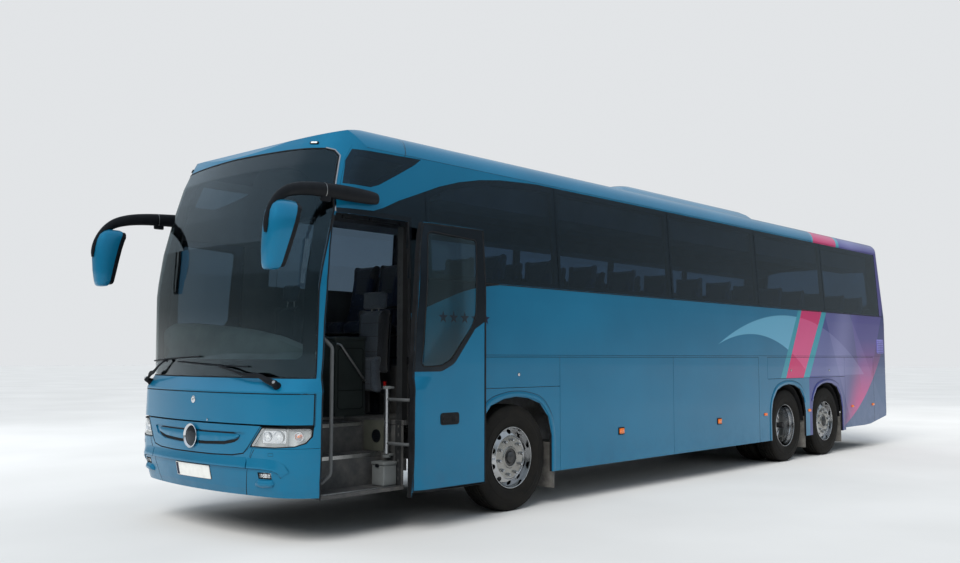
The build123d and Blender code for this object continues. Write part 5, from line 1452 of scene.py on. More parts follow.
# console top, its diagonal rail and ticket shelf
b = Build()
b.add(rbox(A(.3325, -1.380, 1.660), (.196, .384, .034), .016, 4), 0)
b.add(tube(smooth_path([A(.424, -1.545, 1.610), A(.452, -1.530, 1.600), A(.456, -1.500, 1.570), A(.456, -1.260, 1.300), A(.452, -1.235, 1.275), A(.424, -1.222, 1.268)], 5), .011, 10), 1)
b.add(plate(rounded([(-1.540, 1.000), (-1.220, 1.000), (-1.220, 1.580), (-1.540, 1.580)], .03, 4), lambda a, z, o=0.0: A(.420 + o, a, z), .0, .003, .08), 0)
b.add(ridge(rounded([(-1.530, 1.010), (-1.230, 1.010), (-1.230, 1.570), (-1.530, 1.570)], .03, 4), lambda a, z, o=0.0: A(.423 + o, a, z), bar_prof(.005, .003, .001), 0, .05), 2)
b.add(ridge([(-1.530, 1.18), (-1.230, 1.18)], lambda a, z, o=0.0: A(.423 + o, a, z), bar_prof(.005, .003, .001), 0, .05, closed=False), 2)
b.make("console_trim", [M_CONSOLE, M_STEEL, M_BLACK], "body", 40)
# stairwell: speaker panel, lidded box, step edges, threshold
b = Build()
pan = rounded([(.700, .660), (.990, .660), (.990, .925), (.700, .925)], .02, 4)
b.add(plate(pan, well, .0, .004, .08, [[(.870 + .050 * math.cos(2 * PI * k / 28), .790 + .050 * math.sin(2 * PI * k / 28)) for k in range(28)]]), 0)
b.add(lathe([(.004, .058), (.010, .057), (.011, .050), (.006, .048), (.003, .030), (.008, .012), (.009, .0005)], well(.870, .790, 0), (0, -1, 0), 32), 1)
for i in range(5):
    b.add(ridge([(.870 - .040, .790 + (i - 2) * .016), (.870 + .040, .790 + (i - 2) * .016)], well, bar_prof(.004, .003, .001), .009, .05, closed=False), 1)
b.make("well_speaker_panel", [M_OLIVE, M_BLACK], "body", 40)
b = Build()
b.add(rbox(A(1.066, -1.530, .470), (.160, .150, .176), .012, 3), 0)
b.add(rbox(A(1.066, -1.531, .572), (.168, .158, .030), .010, 3), 0)
b.add(rbox(A(1.066, -1.611, .555), (.040, .012, .026), .003), 1)
b.make("step_box", [M_GREYBOX, M_BLACK], "body", 40)
b = Build()
for xe, zt in ((.930, .6505), (.670, .9005), (.422, .9415)):
    y0, y1 = -2.318, -1.452
    prof_ = [(.0, .0), (.032, .0), (.032, .003), (.003, .003), (.003, -.028), (.0, -.028)]
    vs, fs = [], []
    for yy in (y0, y1):
        for u_, w_ in prof_:
            vs.append(A(xe + .003 - u_, yy, zt + w_ - .0004))
    k = len(prof_)
    for i in range(k):
        fs.append((i, (i + 1) % k, k + (i + 1) % k, k + i))
    fs += [tuple(reversed(range(k))), tuple(range(k, 2 * k))]
    if zt > .92:
        vs = [Vector((v.x, v.y, max(v.z, zt - .0004 - .02))) for v in vs]
    b.add((vs, fs), 0)
    for i in range(3):
        b.add(rbox(A(xe - .008 - i * .009, (y0 + y1) / 2, zt + .0032), (.004, y1 - y0 - .03, .0016), .0006, 1), 1)
def strip_start(x):
    """where a strip at this x may begin so that the shut leaf clears it"""
    yy = -2.300
    while leaf_x(yy, .36)[0] - .050 - .014 < x:
        yy += .01
    return yy


for i in range(5):
    xs_ = 1.158 + i * .010
    ys_ = strip_start(xs_ + .003)
    b.add(rbox(A(xs_, (ys_ - 1.462) / 2, .3818), (.006, -1.462 - ys_, .0030), .001, 1), 0)
    b.add(rbox(A(xs_, (ys_ - 1.462) / 2, .3806), (.010, -1.462 - ys_, .0020), .0006, 1), 1)
b.make("step_edges", [M_NOSING, M_BLACK], "body", 35)


def DB(y, z, o=0.0):
    """on the body's corner beside the doorway"""
    return D(y, z, o) - Vector((.170, .825, 0))


b = Build()
b.add(ridge([(a - .0225, z) for a, z in front_edge], DB, bar_prof(.012, .0030, .001), -.0004, .06, closed=False), 0)
b.add(ridge([(-1.428, z) for z in (.42, 1.2, 2.0, 2.68)], lambda y, z, o=0.0: Vector((half_width(z) + o, y - YM, z)), bar_prof(.016, .0030, .001), -.0004, .2, closed=False), 0)
b.make("door_pillar_seal", [M_RUBBER], "body", 40)
# backing behind the slit above the side flaps
b = Build()
for s in (1, -1):
    b.add(rbox(A(s * 1.2345, 4.710, 1.4840), (.006, 10.30, .030), .001, 1), 0)
b.make("flap_slit_backing", [M_RUBBER], "body", 40)

# ---------------------------------------------------------------- rear
def RB(x, z, o=0.0):
    return B(x, z, o)


RWO = [(1.010, 2.330), (1.008, 2.60), (.995, 2.90), (.960, 3.090), (.900, 3.130), (.700, 3.150), (0.0, 3.156)]
RWO = RWO + [(-x, z) for x, z in reversed(RWO[:-1])]
b = Build()
inn_w = rounded([(.940, 2.400), (.925, 2.80), (.890, 3.040), (.640, 3.085), (0, 3.092), (-.640, 3.085), (-.890, 3.040), (-.925, 2.80), (-.940, 2.400)], .04, 4)
b.add(plate(inset(RWO, .004), RB, -.0120, -.0095, .08, [inn_w]), 0)
b.add(ridge(inset(RWO, -.004), RB, bar_prof(.012, .0035, .0012), -.0005, .06), 1)
b.make("rear_window_border", [M_BLACKGLOSS, M_RUBBER], "body", 40)
b = Build()
for z in [1.330 + .052 * i for i in range(10)]:
    b.add(plate(rounded([(-.740, z), (.740, z), (.740, z + .030), (-.740, z + .030)], .010, 3), RB, .0006, .0022, .08), 0)
    b.add(ridge([(-.735, z + .034), (.735, z + .034)], RB, bar_prof(.008, .010, .003), .0004, .10, closed=False), 1)
b.make("rear_louvres", [M_SOOT, M_PAINT], "engine_lid", 40)
b = Build()
b.add(plate(rounded([(-.275, 1.040), (.275, 1.040), (.275, 1.170), (-.275, 1.170)], .012, 3), RB, .0, .006, .06), 0)
b.add(plate(rounded([(-.260, 1.050), (.260, 1.050), (.260, 1.160), (-.260, 1.160)], .008, 3), RB, .006, .0085, .05), 1)
b.add(plate(rounded([(-.300, 1.196), (.300, 1.196), (.290, 1.232), (-.290, 1.232)], .012, 3), RB, .0, .009, .05, dome=.004), 2)
for x in (-.13, .13):
    b.add(plate(rounded([(x - .03, 1.199), (x + .03, 1.199), (x + .03, 1.207), (x - .03, 1.207)], .003, 2), RB, .0085, .0110, .02), 3)
b.add(lathe([(0, .022), (.004, .0215), (.006, .017), (.006, .0005)], RB(0, .930, 0), (0, 1, 0), 28), 4)
b.make("rear_plate_blank", [M_BLACK, M_PLATE, M_PAINT, M_WHITE_LENS, M_CHROME], "engine_lid", 40)
b = Build()
lamps = [(.985, .058, 2), (1.125, .062, 0), (1.270, .062, 1), (1.415, .062, 0)]
for s in (1, -1):
    out = rounded([(s * 1.016, .906), (s * 1.222, .906), (s * 1.226, 1.300), (s * 1.214, 1.553), (s * 1.016, 1.553)], .03, 4)
    if s < 0:
        out = list(reversed(out))
    b.add(plate(out, RB, -.030, -.004, .05), 3)
    for z, r_, m_ in lamps:
        c_ = RB(s * 1.119, z, -.004)
        b.add(lathe([(0, r_ + .010), (.006, r_ + .009), (.009, r_ + .002), (.007, r_)], c_, (0, 1, 0), 40), 4)
        b.add(lathe([(.004, r_), (.010, r_ * .86), (.014, r_ * .55), (.0150, .0005)], c_, (0, 1, 0), 40), m_)
    b.add(plate(rounded([(s * 1.119 - .05, 1.494), (s * 1.119 + .05, 1.494), (s * 1.119 + .05, 1.536), (s * 1.119 - .05, 1.536)], .006, 3), RB, -.004, .004, .03), 0)
tl_ = b.make("tail_lamp_clusters", [M_RED, M_ORANGE, M_WHITE_LENS, M_BLACKGLOSS, M_CHROME], "body", 40)
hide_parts("tail_lamps")
b = Build()
for s in (1, -1):
    b.add(plate(rounded([(s * .985 - .07, .612), (s * .985 + .07, .612), (s * .985 + .07, .652), (s * .985 - .07, .652)], .010, 3), RB, .0, .008, .03), 0)
    b.add(plate(rounded([(s * .620 - .065, .585), (s * .620 + .065, .585), (s * .620 + .065, .645), (s * .620 - .065, .645)], .02, 4), RB, .0, .010, .03, dome=.004), 1 if s > 0 else 0)
    b.add(ridge(rounded([(s * .620 - .075, .575), (s * .620 + .075, .575), (s * .620 + .075, .655), (s * .620 - .075, .655)], .025, 4), RB, bar_prof(.008, .008, .002), 0, .04), 2)
    b.add(plate(rounded([(s * .985 - .030, 3.205), (s * .985 + .030, 3.205), (s * .985 + .030, 3.228), (s * .985 - .030, 3.228)], .006, 3), RB, .0, .010, .03), 0)
b.add(ridge([(-1.12, .5160), (1.12, .5160)], RB, bar_prof(.014, .005, .002), -.0006, .08, closed=False), 2)
b.add(ridge([(-.500, .640), (.500, .640)], RB, bar_prof(.016, .005, .002), -.0006, .08, closed=False), 3)
b.add(plate(rounded([(-.200, 3.190), (.200, 3.190), (.200, 3.214), (-.200, 3.214)], .006, 3), RB, .0, .010, .04), 0)
b.make("rear_small_lamps", [M_RED, M_WHITE_LENS, M_BLACK, M_PAINT], "body", 40)
b = Build()
b.add(ridge(rounded([(-.9035, .8565), (.9035, .8565), (.9035, 1.9835), (-.9035, 1.9835)], .02, 4), RB, bar_prof(.005, .0014, .0004), -.0006, .08), 0)
b.add(ridge([(-1.20, 2.120), (1.20, 2.120)], RB, bar_prof(.006, .0020, .0006), -.0006, .10, closed=False), 0)
b.make("rear_lines", [M_RUBBER], "body", 40)
b = Build()
b.add(tube(smooth_path([A(-.62, 9.05, .56), A(-.62, 9.45, .53), A(-.66, 9.62, .46), A(-.70, 9.78, .43)], 5), .055, 20), 0)
b.make("exhaust_pipe", [M_ALLOY_D], "body", 40)

# ---------------------------------------------------------------- roof
t = Mt("roof_pod_paint", BLUE, metal=0.35, rough=0.34, coat=0.8, coat_r=0.05)
x_, y_, z_, v_ = t.pos()
ya_ = t.math("ADD", y_, YM)
inx = t.math("MULTIPLY_ADD", t.math("SUBTRACT", 0.62, t.math("ABSOLUTE", x_)), 300.0, 0.5, clamp=True)
msk = None
for y0, y1 in ((2.75, 3.75), (4.15, 5.15)):
    m1 = t.math("MULTIPLY", t.math("MULTIPLY_ADD", t.math("SUBTRACT", ya_, y0), 300.0, 0.5, clamp=True), t.math("MULTIPLY_ADD", t.math("SUBTRACT", y1, ya_), 300.0, 0.5, clamp=True))
    msk = m1 if msk is None else t.math("MAXIMUM", msk, m1)
top = t.math("MULTIPLY_ADD", t.math("SUBTRACT", z_, 3.60), 300.0, 0.5, clamp=True)
msk = t.math("MULTIPLY", t.math("MULTIPLY", msk, inx), top)
slat = t.wave(8.0, "Y")
c_ = t.mix(t.map(t.noise(0.9, 3, 0.55), 0.35, 0.7), BLUE, BLUE_LIT)
t.colour(t.mix(msk, c_, t.mix(t.map(slat, 0.35, 0.65), (0.006, 0.006, 0.007), (0.040, 0.042, 0.045))))
t.bump(t.math("MULTIPLY", msk, slat), 0.6, 0.006)
t.rough(t.math("MULTIPLY_ADD", msk, 0.3, 0.34))
plain("aircon_pod", t.m)
b = Build()
for yc in (1.450, 7.450):
    mp = lambda a, c2, o=0.0: A(a, c2, 3.5560 + o)
    b.add(plate(rounded([(-.345, yc - .315), (.345, yc - .315), (.345, yc + .315), (-.345, yc + .315)], .06, 5), mp, -.001, .012, .08, dome=.010), 0)
    for i in range(-2, 3):
        b.add(ridge([(i * .12, yc - .24), (i * .12, yc + .24)], mp, bar_prof(.016, .006, .002), .012, .2, closed=False), 0)
b.make("roof_hatch_lids", [M_TRIM_L], "body", 40)
# ---------------------------------------------------------------- seats: foam shapes from a pressure simulation
from mathutils.bvhtree import BVHTree

M_SEAT_SHELL = plastic("seat_shell_grey", (0.060, 0.064, 0.070), 0.55)
M_SEAM = cloth("seat_seam", (0.012, 0.013, 0.016), (0.022, 0.024, 0.030))


def evaluated(o):
    dg = bpy.context.evaluated_depsgraph_get()
    me = bpy.data.meshes.new_from_object(o.evaluated_get(dg))
    return me


def temp_object(vf, name):
    me = bpy.data.meshes.new(name)
    me.from_pydata([tuple(v) for v in vf[0]], [], [tuple(f) for f in vf[1]])
    me.update()
    o = bpy.data.objects.new(name, me)
    bpy.context.scene.collection.objects.link(o)
    return o


def soft_shape(name, size, r, cap=0.026, voxel=0.0085, ratio=0.16, waist=0.0, dish=0.0):
    """a stuffed block: remeshed, blown up a little as cloth, its rise capped; returns a light mesh and the fuller one"""
    o = temp_object(rbox((0, 0, 0), size, r, 3), name + "_tmp")
    m = o.modifiers.new("remesh", "REMESH")
    m.mode, m.voxel_size = "VOXEL", voxel
    me = evaluated(o)
    bpy.data.objects.remove(o)
    hx, hy, hz = (v / 2 for v in size)
    for v in me.vertices:
        x, y, z = v.co
        if waist:
            # the long sides draw in between the corners
            k = 1 - waist * (1 - (y / hy) ** 2 if size[1] > size[2] else 1 - (z / hz) ** 2)
            v.co.x = x * k
        if dish:
            # side bolsters stand forward of the middle
            v.co.y = y - dish * (max(0.0, abs(x) / hx - 0.45) / 0.55) ** 2 * (0.5 - y / size[1])
    me.update()
    rest = [v.co.copy() for v in me.vertices]
    o = bpy.data.objects.new(name + "_sim", me)
    bpy.context.scene.collection.objects.link(o)
    sc = bpy.context.scene
    c = o.modifiers.new("cloth", "CLOTH")
    c.settings.quality = 4
    c.settings.mass = 0.25
    c.settings.tension_stiffness = c.settings.compression_stiffness = 9
    c.settings.shear_stiffness = 4
    c.settings.bending_stiffness = 0.4
    c.settings.use_pressure = True
    c.settings.uniform_pressure_force = 4.0
    c.settings.effector_weights.gravity = 0.0
    c.point_cache.frame_start, c.point_cache.frame_end = 1, 20
    for f in range(1, 21):
        sc.frame_set(f)
    me2 = evaluated(o)
    pos = [v.co.copy() for v in me2.vertices]
    sc.frame_set(1)
    o.modifiers.clear()
    bpy.data.meshes.remove(me2)
    drift = sum((p - q for p, q in zip(pos, rest)), Vector()) / len(pos)
    for v, p, q in zip(me.vertices, pos, rest):
        d = p - drift - q
        if d.length > cap:
            d = d * (cap / d.length)
        v.co = q + d
    me.update()
    sm = o.modifiers.new("smooth", "SMOOTH")
    sm.factor, sm.iterations = 0.5, 4
    full = evaluated(o)
    dec = o.modifiers.new("decimate", "DECIMATE")
    dec.ratio = ratio
    light = evaluated(o)
    bpy.data.objects.remove(o)
    out = []
    for mm in (light, full):
        out.append(([v.co.copy() for v in mm.vertices], [tuple(p.vertices) for p in mm.polygons]))
    return out


def on_surface(vf, pts, away, lift=0.0):
    """points dropped onto a shape along a direction"""
    tree = BVHTree.FromPolygons([tuple(v) for v in vf[0]], [f for f in vf[1]])
    res = []
    for p in pts:
        hit = tree.ray_cast(Vector(p) - Vector(away) * 1.0, Vector(away), 2.0)
        if hit[0] is not None:
            res.append(hit[0] + hit[1] * lift)
    return res


CUSH, CUSH_F = soft_shape("cushion", (.405, .415, .095), .030, waist=.035)
BACK, BACK_F = soft_shape("backrest", (.405, .070, .740), .030, waist=.05, dish=.030, ratio=.13)
HEAD, HEAD_F = soft_shape("headrest", (.250, .075, .165), .034, cap=.022, ratio=.30, waist=.03)


def seams_for(vf, kind):
    """piping laid on the surface"""
    out = []
    if kind == "cushion":
        for y in (-.10, .06):
            out.append(on_surface(vf, [(x / 40 * .37 - .185, y, 0) for x in range(0, 41, 4)], (0, 0, -1), .0004))
        for x in (-.135, .135):
            out.append(on_surface(vf, [(x, y / 40 * .38 - .19, 0) for y in range(0, 41, 4)], (0, 0, -1), .0004))
    else:
        for x in (-.125, .125):
            out.append(on_surface(vf, [(x, 0, z / 40 * .68 - .34) for z in range(0, 41, 4)], (0, 1, 0), .0004))
        for z in (-.12, .05, .20):
            out.append(on_surface(vf, [(x / 40 * .25 - .125, 0, z) for x in range(0, 41, 5)], (0, 1, 0), .0004))
    return [p for p in out if len(p) > 2]


CUSH_SEAM, BACK_SEAM = seams_for(CUSH_F, "cushion"), seams_for(BACK_F, "back")


def placed(vf, at, tilt=0.0, scale=(1, 1, 1), yaw=0.0):
    """tilt leans the shape back about the x axis"""
    ct, st = math.cos(tilt), math.sin(tilt)
    vs = []
    for v in vf[0]:
        x, y, z = v[0] * scale[0], v[1] * scale[1], v[2] * scale[2]
        y, z = y * ct + z * st, -y * st + z * ct
        if yaw:
            x, y = x * math.cos(yaw) - y * math.sin(yaw), x * math.sin(yaw) + y * math.cos(yaw)
        vs.append(Vector((at[0] + x, at[1] + y, at[2] + z)))
    return vs, vf[1]


def placed_path(p, at, tilt=0.0, scale=(1, 1, 1)):
    return placed((p, []), at, tilt, scale)[0]


def face_pick(vf, test, keep):
    """splits a shape's faces by the place of their first corner, in the shape's own frame"""
    return vf[0], [f for f in vf[1] if test(vf[0][f[0]]) == keep]


head_zone = lambda v: v[2] > .200 and v[1] < .02
BACK_A, BACK_B = face_pick(BACK, head_zone, False), face_pick(BACK, head_zone, True)
row = {1: Build(), -1: Build()}
hard = Build()
REC = math.atan2(.147, .77)
for i in range(13):
    y = -.590 + i * .77815
    for s in (1, -1):
        for xc in (.505, .945):
            X = s * xc
            row[s].add(placed(CUSH, A(X, y + .225, 1.802), -.06), 0)
            at = A(X, y + .545, 2.165)
            row[s].add(placed(BACK_A, at, REC), 0)
            row[s].add(placed(BACK_B, at, REC), 1)
            if i < 2:
                for p in CUSH_SEAM:
                    row[s].add(tube(placed_path(p, A(X, y + .225, 1.802), -.06), .0022, 4), 2)
                for p in BACK_SEAM:
                    row[s].add(tube(placed_path(p, at, REC), .0022, 4), 2)
            hard.add(placed(rbox((0, .046, -.04), (.34, .020, .56), .009, 1), at, REC), 0)
            hard.add(placed(rbox((0, .062, .16), (.26, .012, .030), .005, 1), at, REC), 1)
        X = s * .725
        hard.add(rbox(A(X, y + .235, 1.742), (.86, .38, .020), .006, 1), 0)
        for xl in (.435, ):
            hard.add(rbox(A(s * xl, y + .26, 1.572), (.050, .26, .330), .012, 1), 0)
            hard.add(rbox(A(s * xl, y + .26, 1.409), (.070, .34, .014), .004, 1), 1)
        hard.add(placed(rbox((0, 0, 0), (.036, .300, .032), .012, 2), A(s * .291, y + .36, 2.020), -.05), 0)
        hard.add(rbox(A(s * .291, y + .485, 1.905), (.026, .035, .22), .008, 1), 0)
        hard.add(tube([A(s * .30, y + .06, 1.735), A(s * 1.15, y + .06, 1.735)], .013, 6), 1)
for s, side in ((1, "left"), (-1, "right")):
    ps = row[s].make("passenger_seat_cushions_" + side, [M_SEAT, M_SEAT_L, M_SEAM], "body", 60)
    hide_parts("passenger_seats")
ph = hard.make("passenger_seat_frames", [M_SEAT_SHELL, M_ALLOY_D], "body", 35)
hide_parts("passenger_seats")

# driver's seat
b, hard = Build(), Build()
DX = -.760
at = A(DX, -1.470, 1.275)
b.add(placed(CUSH_F, at, -.07, (1.10, 1.10, 1.15)), 0)
for p in CUSH_SEAM:
    b.add(tube(placed_path(p, at, -.07, (1.10, 1.10, 1.15)), .0026, 5), 2)
at = A(DX, -1.215, 1.690)
b.add(placed(BACK_F, at, .10, (1.10, 1.05, .90)), 0)
for p in BACK_SEAM:
    b.add(tube(placed_path(p, at, .10, (1.10, 1.05, .90)), .0026, 5), 2)
b.add(placed(HEAD_F, A(DX, -1.200, 2.140), .08, (1.0, 1.0, 1.0)), 1)
dsu = b.make("driver_seat_cushions", [M_DRIVER_D, M_DRIVER, M_SEAM], "body", 60)
for x in (-.06, .06):
    hard.add(tube([A(DX + x, -1.205, 2.00), A(DX + x, -1.200, 2.10)], .007, 8), 1)
hard.add(placed(rbox((0, .052, 0), (.40, .026, .60), .012, 2), A(DX, -1.215, 1.690), .10), 0)
hard.add(rbox(A(DX, -1.450, 1.195), (.40, .40, .050), .016, 2), 0)
hard.add(lathe([(0, .165), (.010, .160), (.020, .135), (.06, .118), (.20, .112), (.225, .130), (.230, .001)], A(DX, -1.450, .941), (0, 0, 1), 32), 0)
for z in (.985, 1.020, 1.055, 1.090, 1.125):
    hard.add(lathe([(-.012, .121), (0, .138), (.012, .121)], A(DX, -1.450, z), (0, 0, 1), 32), 2)
for s in (1, -1):
    hard.add(placed(rbox((0, 0, 0), (.050, .290, .040), .016, 2), A(DX + s * .262, -1.370, 1.500), -.04), 0)
    hard.add(rbox(A(DX + s * .250, -1.235, 1.470), (.020, .050, .09), .008, 1), 0)
dsh = hard.make("driver_seat_frame", [M_BLACK, M_ALLOY_D, M_RUBBER], "body", 35)
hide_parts("drivers_seat")
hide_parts("drivers_seat")

# guide's tip-up seat beside the doorway steps, folded up
b, hard = Build(), Build()
GX = .325
at = A(GX, -1.105, 1.325)
b.add(placed(CUSH_F, at, -PI / 2 - .03, (1.0, .88, .80)), 0)
for p in CUSH_SEAM:
    b.add(tube(placed_path(p, at, -PI / 2 - .03, (1.0, .88, .80)), .0024, 5), 2)
at = A(GX, -1.010, 1.640)
side = lambda v: abs(v[0]) > .128
b.add(placed(face_pick(BACK_F, side, False), at, .05, (1.06, 1.0, .86)), 0)
b.add(placed(face_pick(BACK_F, side, True), at, .05, (1.06, 1.0, .86)), 1)
for p in BACK_SEAM:
    b.add(tube(placed_path(p, at, .05, (1.06, 1.0, .86)), .0024, 5), 2)
b.add(placed(HEAD_F, A(GX, -.996, 2.035), .05, (1.25, 1.05, 1.02)), 0)
gs = b.make("guide_seat_cushions", [M_DRIVER, M_DRIVER_D, M_SEAM], "body", 60)
for x in (-.05, .05):
    hard.add(tube([A(GX + x, -.996, 1.93), A(GX + x, -.994, 2.01)], .007, 8), 1)
hard.add(placed(rbox((0, .045, -.02), (.38, .020, .56), .008, 1), A(GX, -1.010, 1.640), .05), 0)
hard.add(rbox(A(.360, -1.020, 1.120), (.080, .060, .360), .012, 2), 0)
hard.add(rbox(A(.360, -1.020, .9490), (.120, .120, .014), .004, 1), 0)
for s in (1, -1):
    hard.add(lathe([(-.012, .030), (.012, .030), (.016, .024), (.016, .001)], A(GX + s * .205, -1.060, 1.170), (s, 0, 0), 20), 0)
hard.add(rbox(A(GX + .222, -1.062, 1.235), (.012, .030, .050), .004, 2), 3)
hard.make("guide_seat_frame", [M_BLACK, M_ALLOY_D, M_RUBBER, M_RED], "body", 35)
# ---------------------------------------------------------------- wheel housings, side grille
b = Build()
for s in (1, -1):
    for y in (DRIVE_Y, TAG_Y):
        n_ = 22
        vs, fs = [], []
        for x_ in (.585, 1.222):
            for k in range(n_ + 1):
                a = PI * (0.02 + 0.96 * k / n_)
                vs.append(A(s * x_, y - .578 * math.cos(a), .525 + .578 * math.sin(a)))
        for x_ in (.585, 1.222):
            for k in range(n_ + 1):
                a = PI * (0.02 + 0.96 * k / n_)
                vs.append(A(s * x_, y - .584 * math.cos(a), .525 + .584 * math.sin(a)))
        m_ = n_ + 1
        for k in range(n_):
            fs += [(k, k + 1, m_ + k + 1, m_ + k), (2 * m_ + k, 3 * m_ + k, 3 * m_ + k + 1, 2 * m_ + k + 1),
                   (k, 2 * m_ + k, 2 * m_ + k + 1, k + 1), (m_ + k, m_ + k + 1, 3 * m_ + k + 1, 3 * m_ + k)]
        fs += [(0, m_, 3 * m_, 2 * m_), (n_, 2 * m_ + n_, 3 * m_ + n_, m_ + n_)]
        b.add((vs, fs), 0)
        for xr in (.72, .90, 1.08):
            b.add(sweep([A(s * xr, y - .578 * math.cos(PI * t_ / 16), .525 + .578 * math.sin(PI * t_ / 16)) for t_ in range(1, 16)], bar_prof(.014, .006, .002),
                        [Vector((0, math.cos(PI * t_ / 16), -math.sin(PI * t_ / 16))) for t_ in range(1, 16)]), 0)
b.make("wheel_housings", [M_SOOT], "body", 40)
M_LILAC = plastic("side_grille_lilac", (0.205, 0.190, 0.520), 0.40, 300.0, 0.05)
b = Build()
for s in (1, -1):
    mp = side_map(s)
    o = rounded([(9.545, 1.560), (9.835, 1.560), (9.835, 1.790), (9.545, 1.790)], .018, 4)
    b.add(plate(o, mp, -.0004, .0030, .06), 0)
    b.add(ridge(o, mp, bar_prof(.008, .0060, .002), -.0004, .05), 0)
    for i in range(7):
        b.add(ridge([(9.560, 1.585 + i * .030), (9.820, 1.585 + i * .030)], mp, bar_prof(.014, .0060, .002), .0026, .1, closed=False), 0)
        b.add(ridge([(9.560, 1.5755 + i * .030), (9.820, 1.5755 + i * .030)], mp, bar_prof(.0045, .0012, .0004), .0028, .1, closed=False), 1)
b.make("side_grilles", [M_LILAC, M_SOOT], "body", 40)
# ---------------------------------------------------------------- dash hood behind the windscreen
HOOD = [(-1.130, 1.600), (-1.080, 1.690), (-1.000, 1.770), (-.870, 1.803), (-.600, 1.800), (-.350, 1.785), (.100, 1.752), (.430, 1.718), (.800, 1.660), (1.030, 1.600), (1.130, 1.540)]
xs_ = [(-1.130 + 2.260 * i / 44) for i in range(45)]
vs, fs = [], []
for x_ in xs_:
    zt = lerp_table(HOOD, x_)
    fy = F(max(-1.13, min(1.13, x_)), 1.50).y + YM
    pr = [(fy + .085, 1.335), (fy + .090, 1.420), (fy + .110, 1.480), (fy + .150, 1.530), ((fy + .15) * .4 - 2.48 * .6, 1.53 + (zt - 1.53) * .72), (-2.470, zt - .030), (-2.440, zt - .006), (-2.415, zt), (-2.395, zt - .008), (-2.385, zt - .030),
          (-2.380, zt - .12), (-2.360, 1.360)]
    pr = [(max(a_, fy + .085), z_) for a_, z_ in pr]
    vs += [A(x_, a_, z_) for a_, z_ in pr]
k_ = len(pr)
for i in range(len(xs_) - 1):
    for k in range(k_ - 1):
        fs.append((i * k_ + k, (i + 1) * k_ + k, (i + 1) * k_ + k + 1, i * k_ + k + 1))
fs += [tuple(range(k_)), tuple(reversed(range((len(xs_) - 1) * k_, len(xs_) * k_)))]
# the hood's own colour is a darker grey-green; here it is painted about twice as light, as painted light that stands in
# for the daylight the windscreen keeps out of the cab
M_HOOD_PAINTED_LIGHT = plastic("dash_hood_greygreen_painted_light", (0.40, 0.47, 0.45), 0.60, 260.0, 0.04)
b = Build()
b.add((vs, fs), 0)
b.make("dash_hood", [M_HOOD_PAINTED_LIGHT], "body", 45)

# ---------------------------------------------------------------- floor, light
fl = bpy.data.meshes.new("studio_floor")
R = 140.0
fl.from_pydata([(-R, -R, 0), (R, -R, 0), (R, R, 0), (-R, R, 0)], [], [(0, 1, 2, 3)])
floor = bpy.data.objects.new("studio_floor", fl)
bpy.context.scene.collection.objects.link(floor)
t = Mt("studio_floor", (0.60, 0.60, 0.59), rough=1.0, spec=0.0)
t.colour(t.mix(t.map(t.noise(0.35, 3, 0.5), 0.3, 0.7), (0.57, 0.57, 0.56), (0.63, 0.63, 0.62)))
fl.materials.append(t.m)

world = bpy.data.worlds.new("studio")
bpy.context.scene.world = world
world.use_nodes = True
wt = world.node_tree
wt.nodes.clear()
wo = wt.nodes.new("ShaderNodeOutputWorld")
bg = wt.nodes.new("ShaderNodeBackground")
tc = wt.nodes.new("ShaderNodeTexCoord")
sx = wt.nodes.new("ShaderNodeSeparateXYZ")
rp = wt.nodes.new("ShaderNodeValToRGB")
wt.links.new(tc.outputs["Generated"], sx.inputs[0])
mr = wt.nodes.new("ShaderNodeMapRange")
wt.links.new(sx.outputs[2], mr.inputs["Value"])
mr.inputs["From Min"].default_value = -0.2
mr.inputs["From Max"].default_value = 1.0
wt.links.new(mr.outputs[0], rp.inputs[0])
cr = rp.color_ramp
cr.elements[0].position, cr.elements[0].color = 0.0, (0.55, 0.55, 0.54, 1)
cr.elements[1].position, cr.elements[1].color = 1.0, (0.80, 0.88, 1.0, 1)
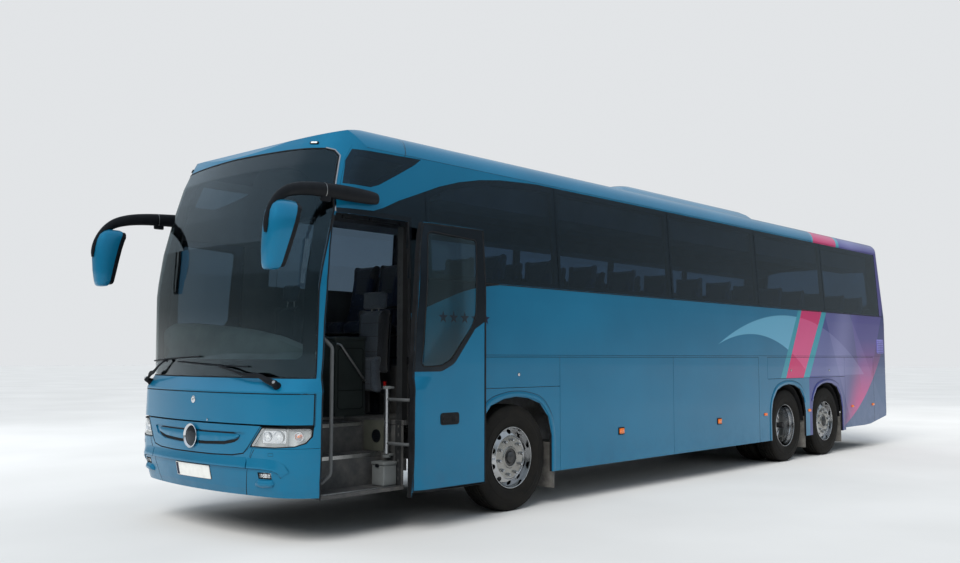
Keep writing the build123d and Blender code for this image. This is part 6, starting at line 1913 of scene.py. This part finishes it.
for p, c in ((0.165, (0.62, 0.63, 0.63, 1)), (0.20, (0.30, 0.33, 0.34, 1)), (0.34, (0.26, 0.30, 0.32, 1)), (0.50, (0.62, 0.72, 0.82, 1))):
    e = cr.elements.new(p)
    e.color = c
lp = wt.nodes.new("ShaderNodeLightPath")
bg2 = wt.nodes.new("ShaderNodeBackground")
bg2.inputs[0].default_value = (0.80, 0.82, 0.84, 1)
bg2.inputs[1].default_value = 0.95
mx = wt.nodes.new("ShaderNodeMixShader")
wt.links.new(rp.outputs[0], bg.inputs[0])
bg.inputs[1].default_value = 0.85
wt.links.new(lp.outputs["Is Camera Ray"], mx.inputs[0])
wt.links.new(bg.outputs[0], mx.inputs[1])
wt.links.new(bg2.outputs[0], mx.inputs[2])
wt.links.new(mx.outputs[0], wo.inputs[0])


def area(name, loc, target, size, power, col=(1, 1, 1)):
    l = bpy.data.lights.new(name, "AREA")
    l.shape, l.size, l.size_y, l.energy, l.color = "RECTANGLE", size[0], size[1], power, col
    o = bpy.data.objects.new(name, l)
    bpy.context.scene.collection.objects.link(o)
    o.location = loc
    o.rotation_euler = (Vector(target) - Vector(loc)).to_track_quat("-Z", "Y").to_euler()
    o.visible_transmission = False
    return o


key = bpy.data.lights.new("key_light", "SUN")
key.energy, key.angle, key.color = 3.0, math.radians(40), (1.0, 0.97, 0.93)
ko = bpy.data.objects.new("key_light", key)
bpy.context.scene.collection.objects.link(ko)
ko.location = (5.5, -15.0, 16.5)
ko.rotation_euler = (Vector((0, 0, 0)) - Vector((5.5, -15.0, 16.5))).to_track_quat("-Z", "Y").to_euler()
ko.visible_transmission = False
ko.visible_glossy = False
area("fill_light", (-12.0, -9.0, 7.0), (0, -3.0, 1.5), (9, 6), 500, (0.92, 0.96, 1.0)).visible_glossy = False
area("back_light", (4.0, 16.0, 12.0), (0, 3.0, 1.5), (9, 6), 700, (1.0, 0.98, 0.95)).visible_glossy = False
vs = bpy.context.scene.view_settings
vs.view_transform = "Standard"
vs.look = "None"
vs.exposure = 0.0
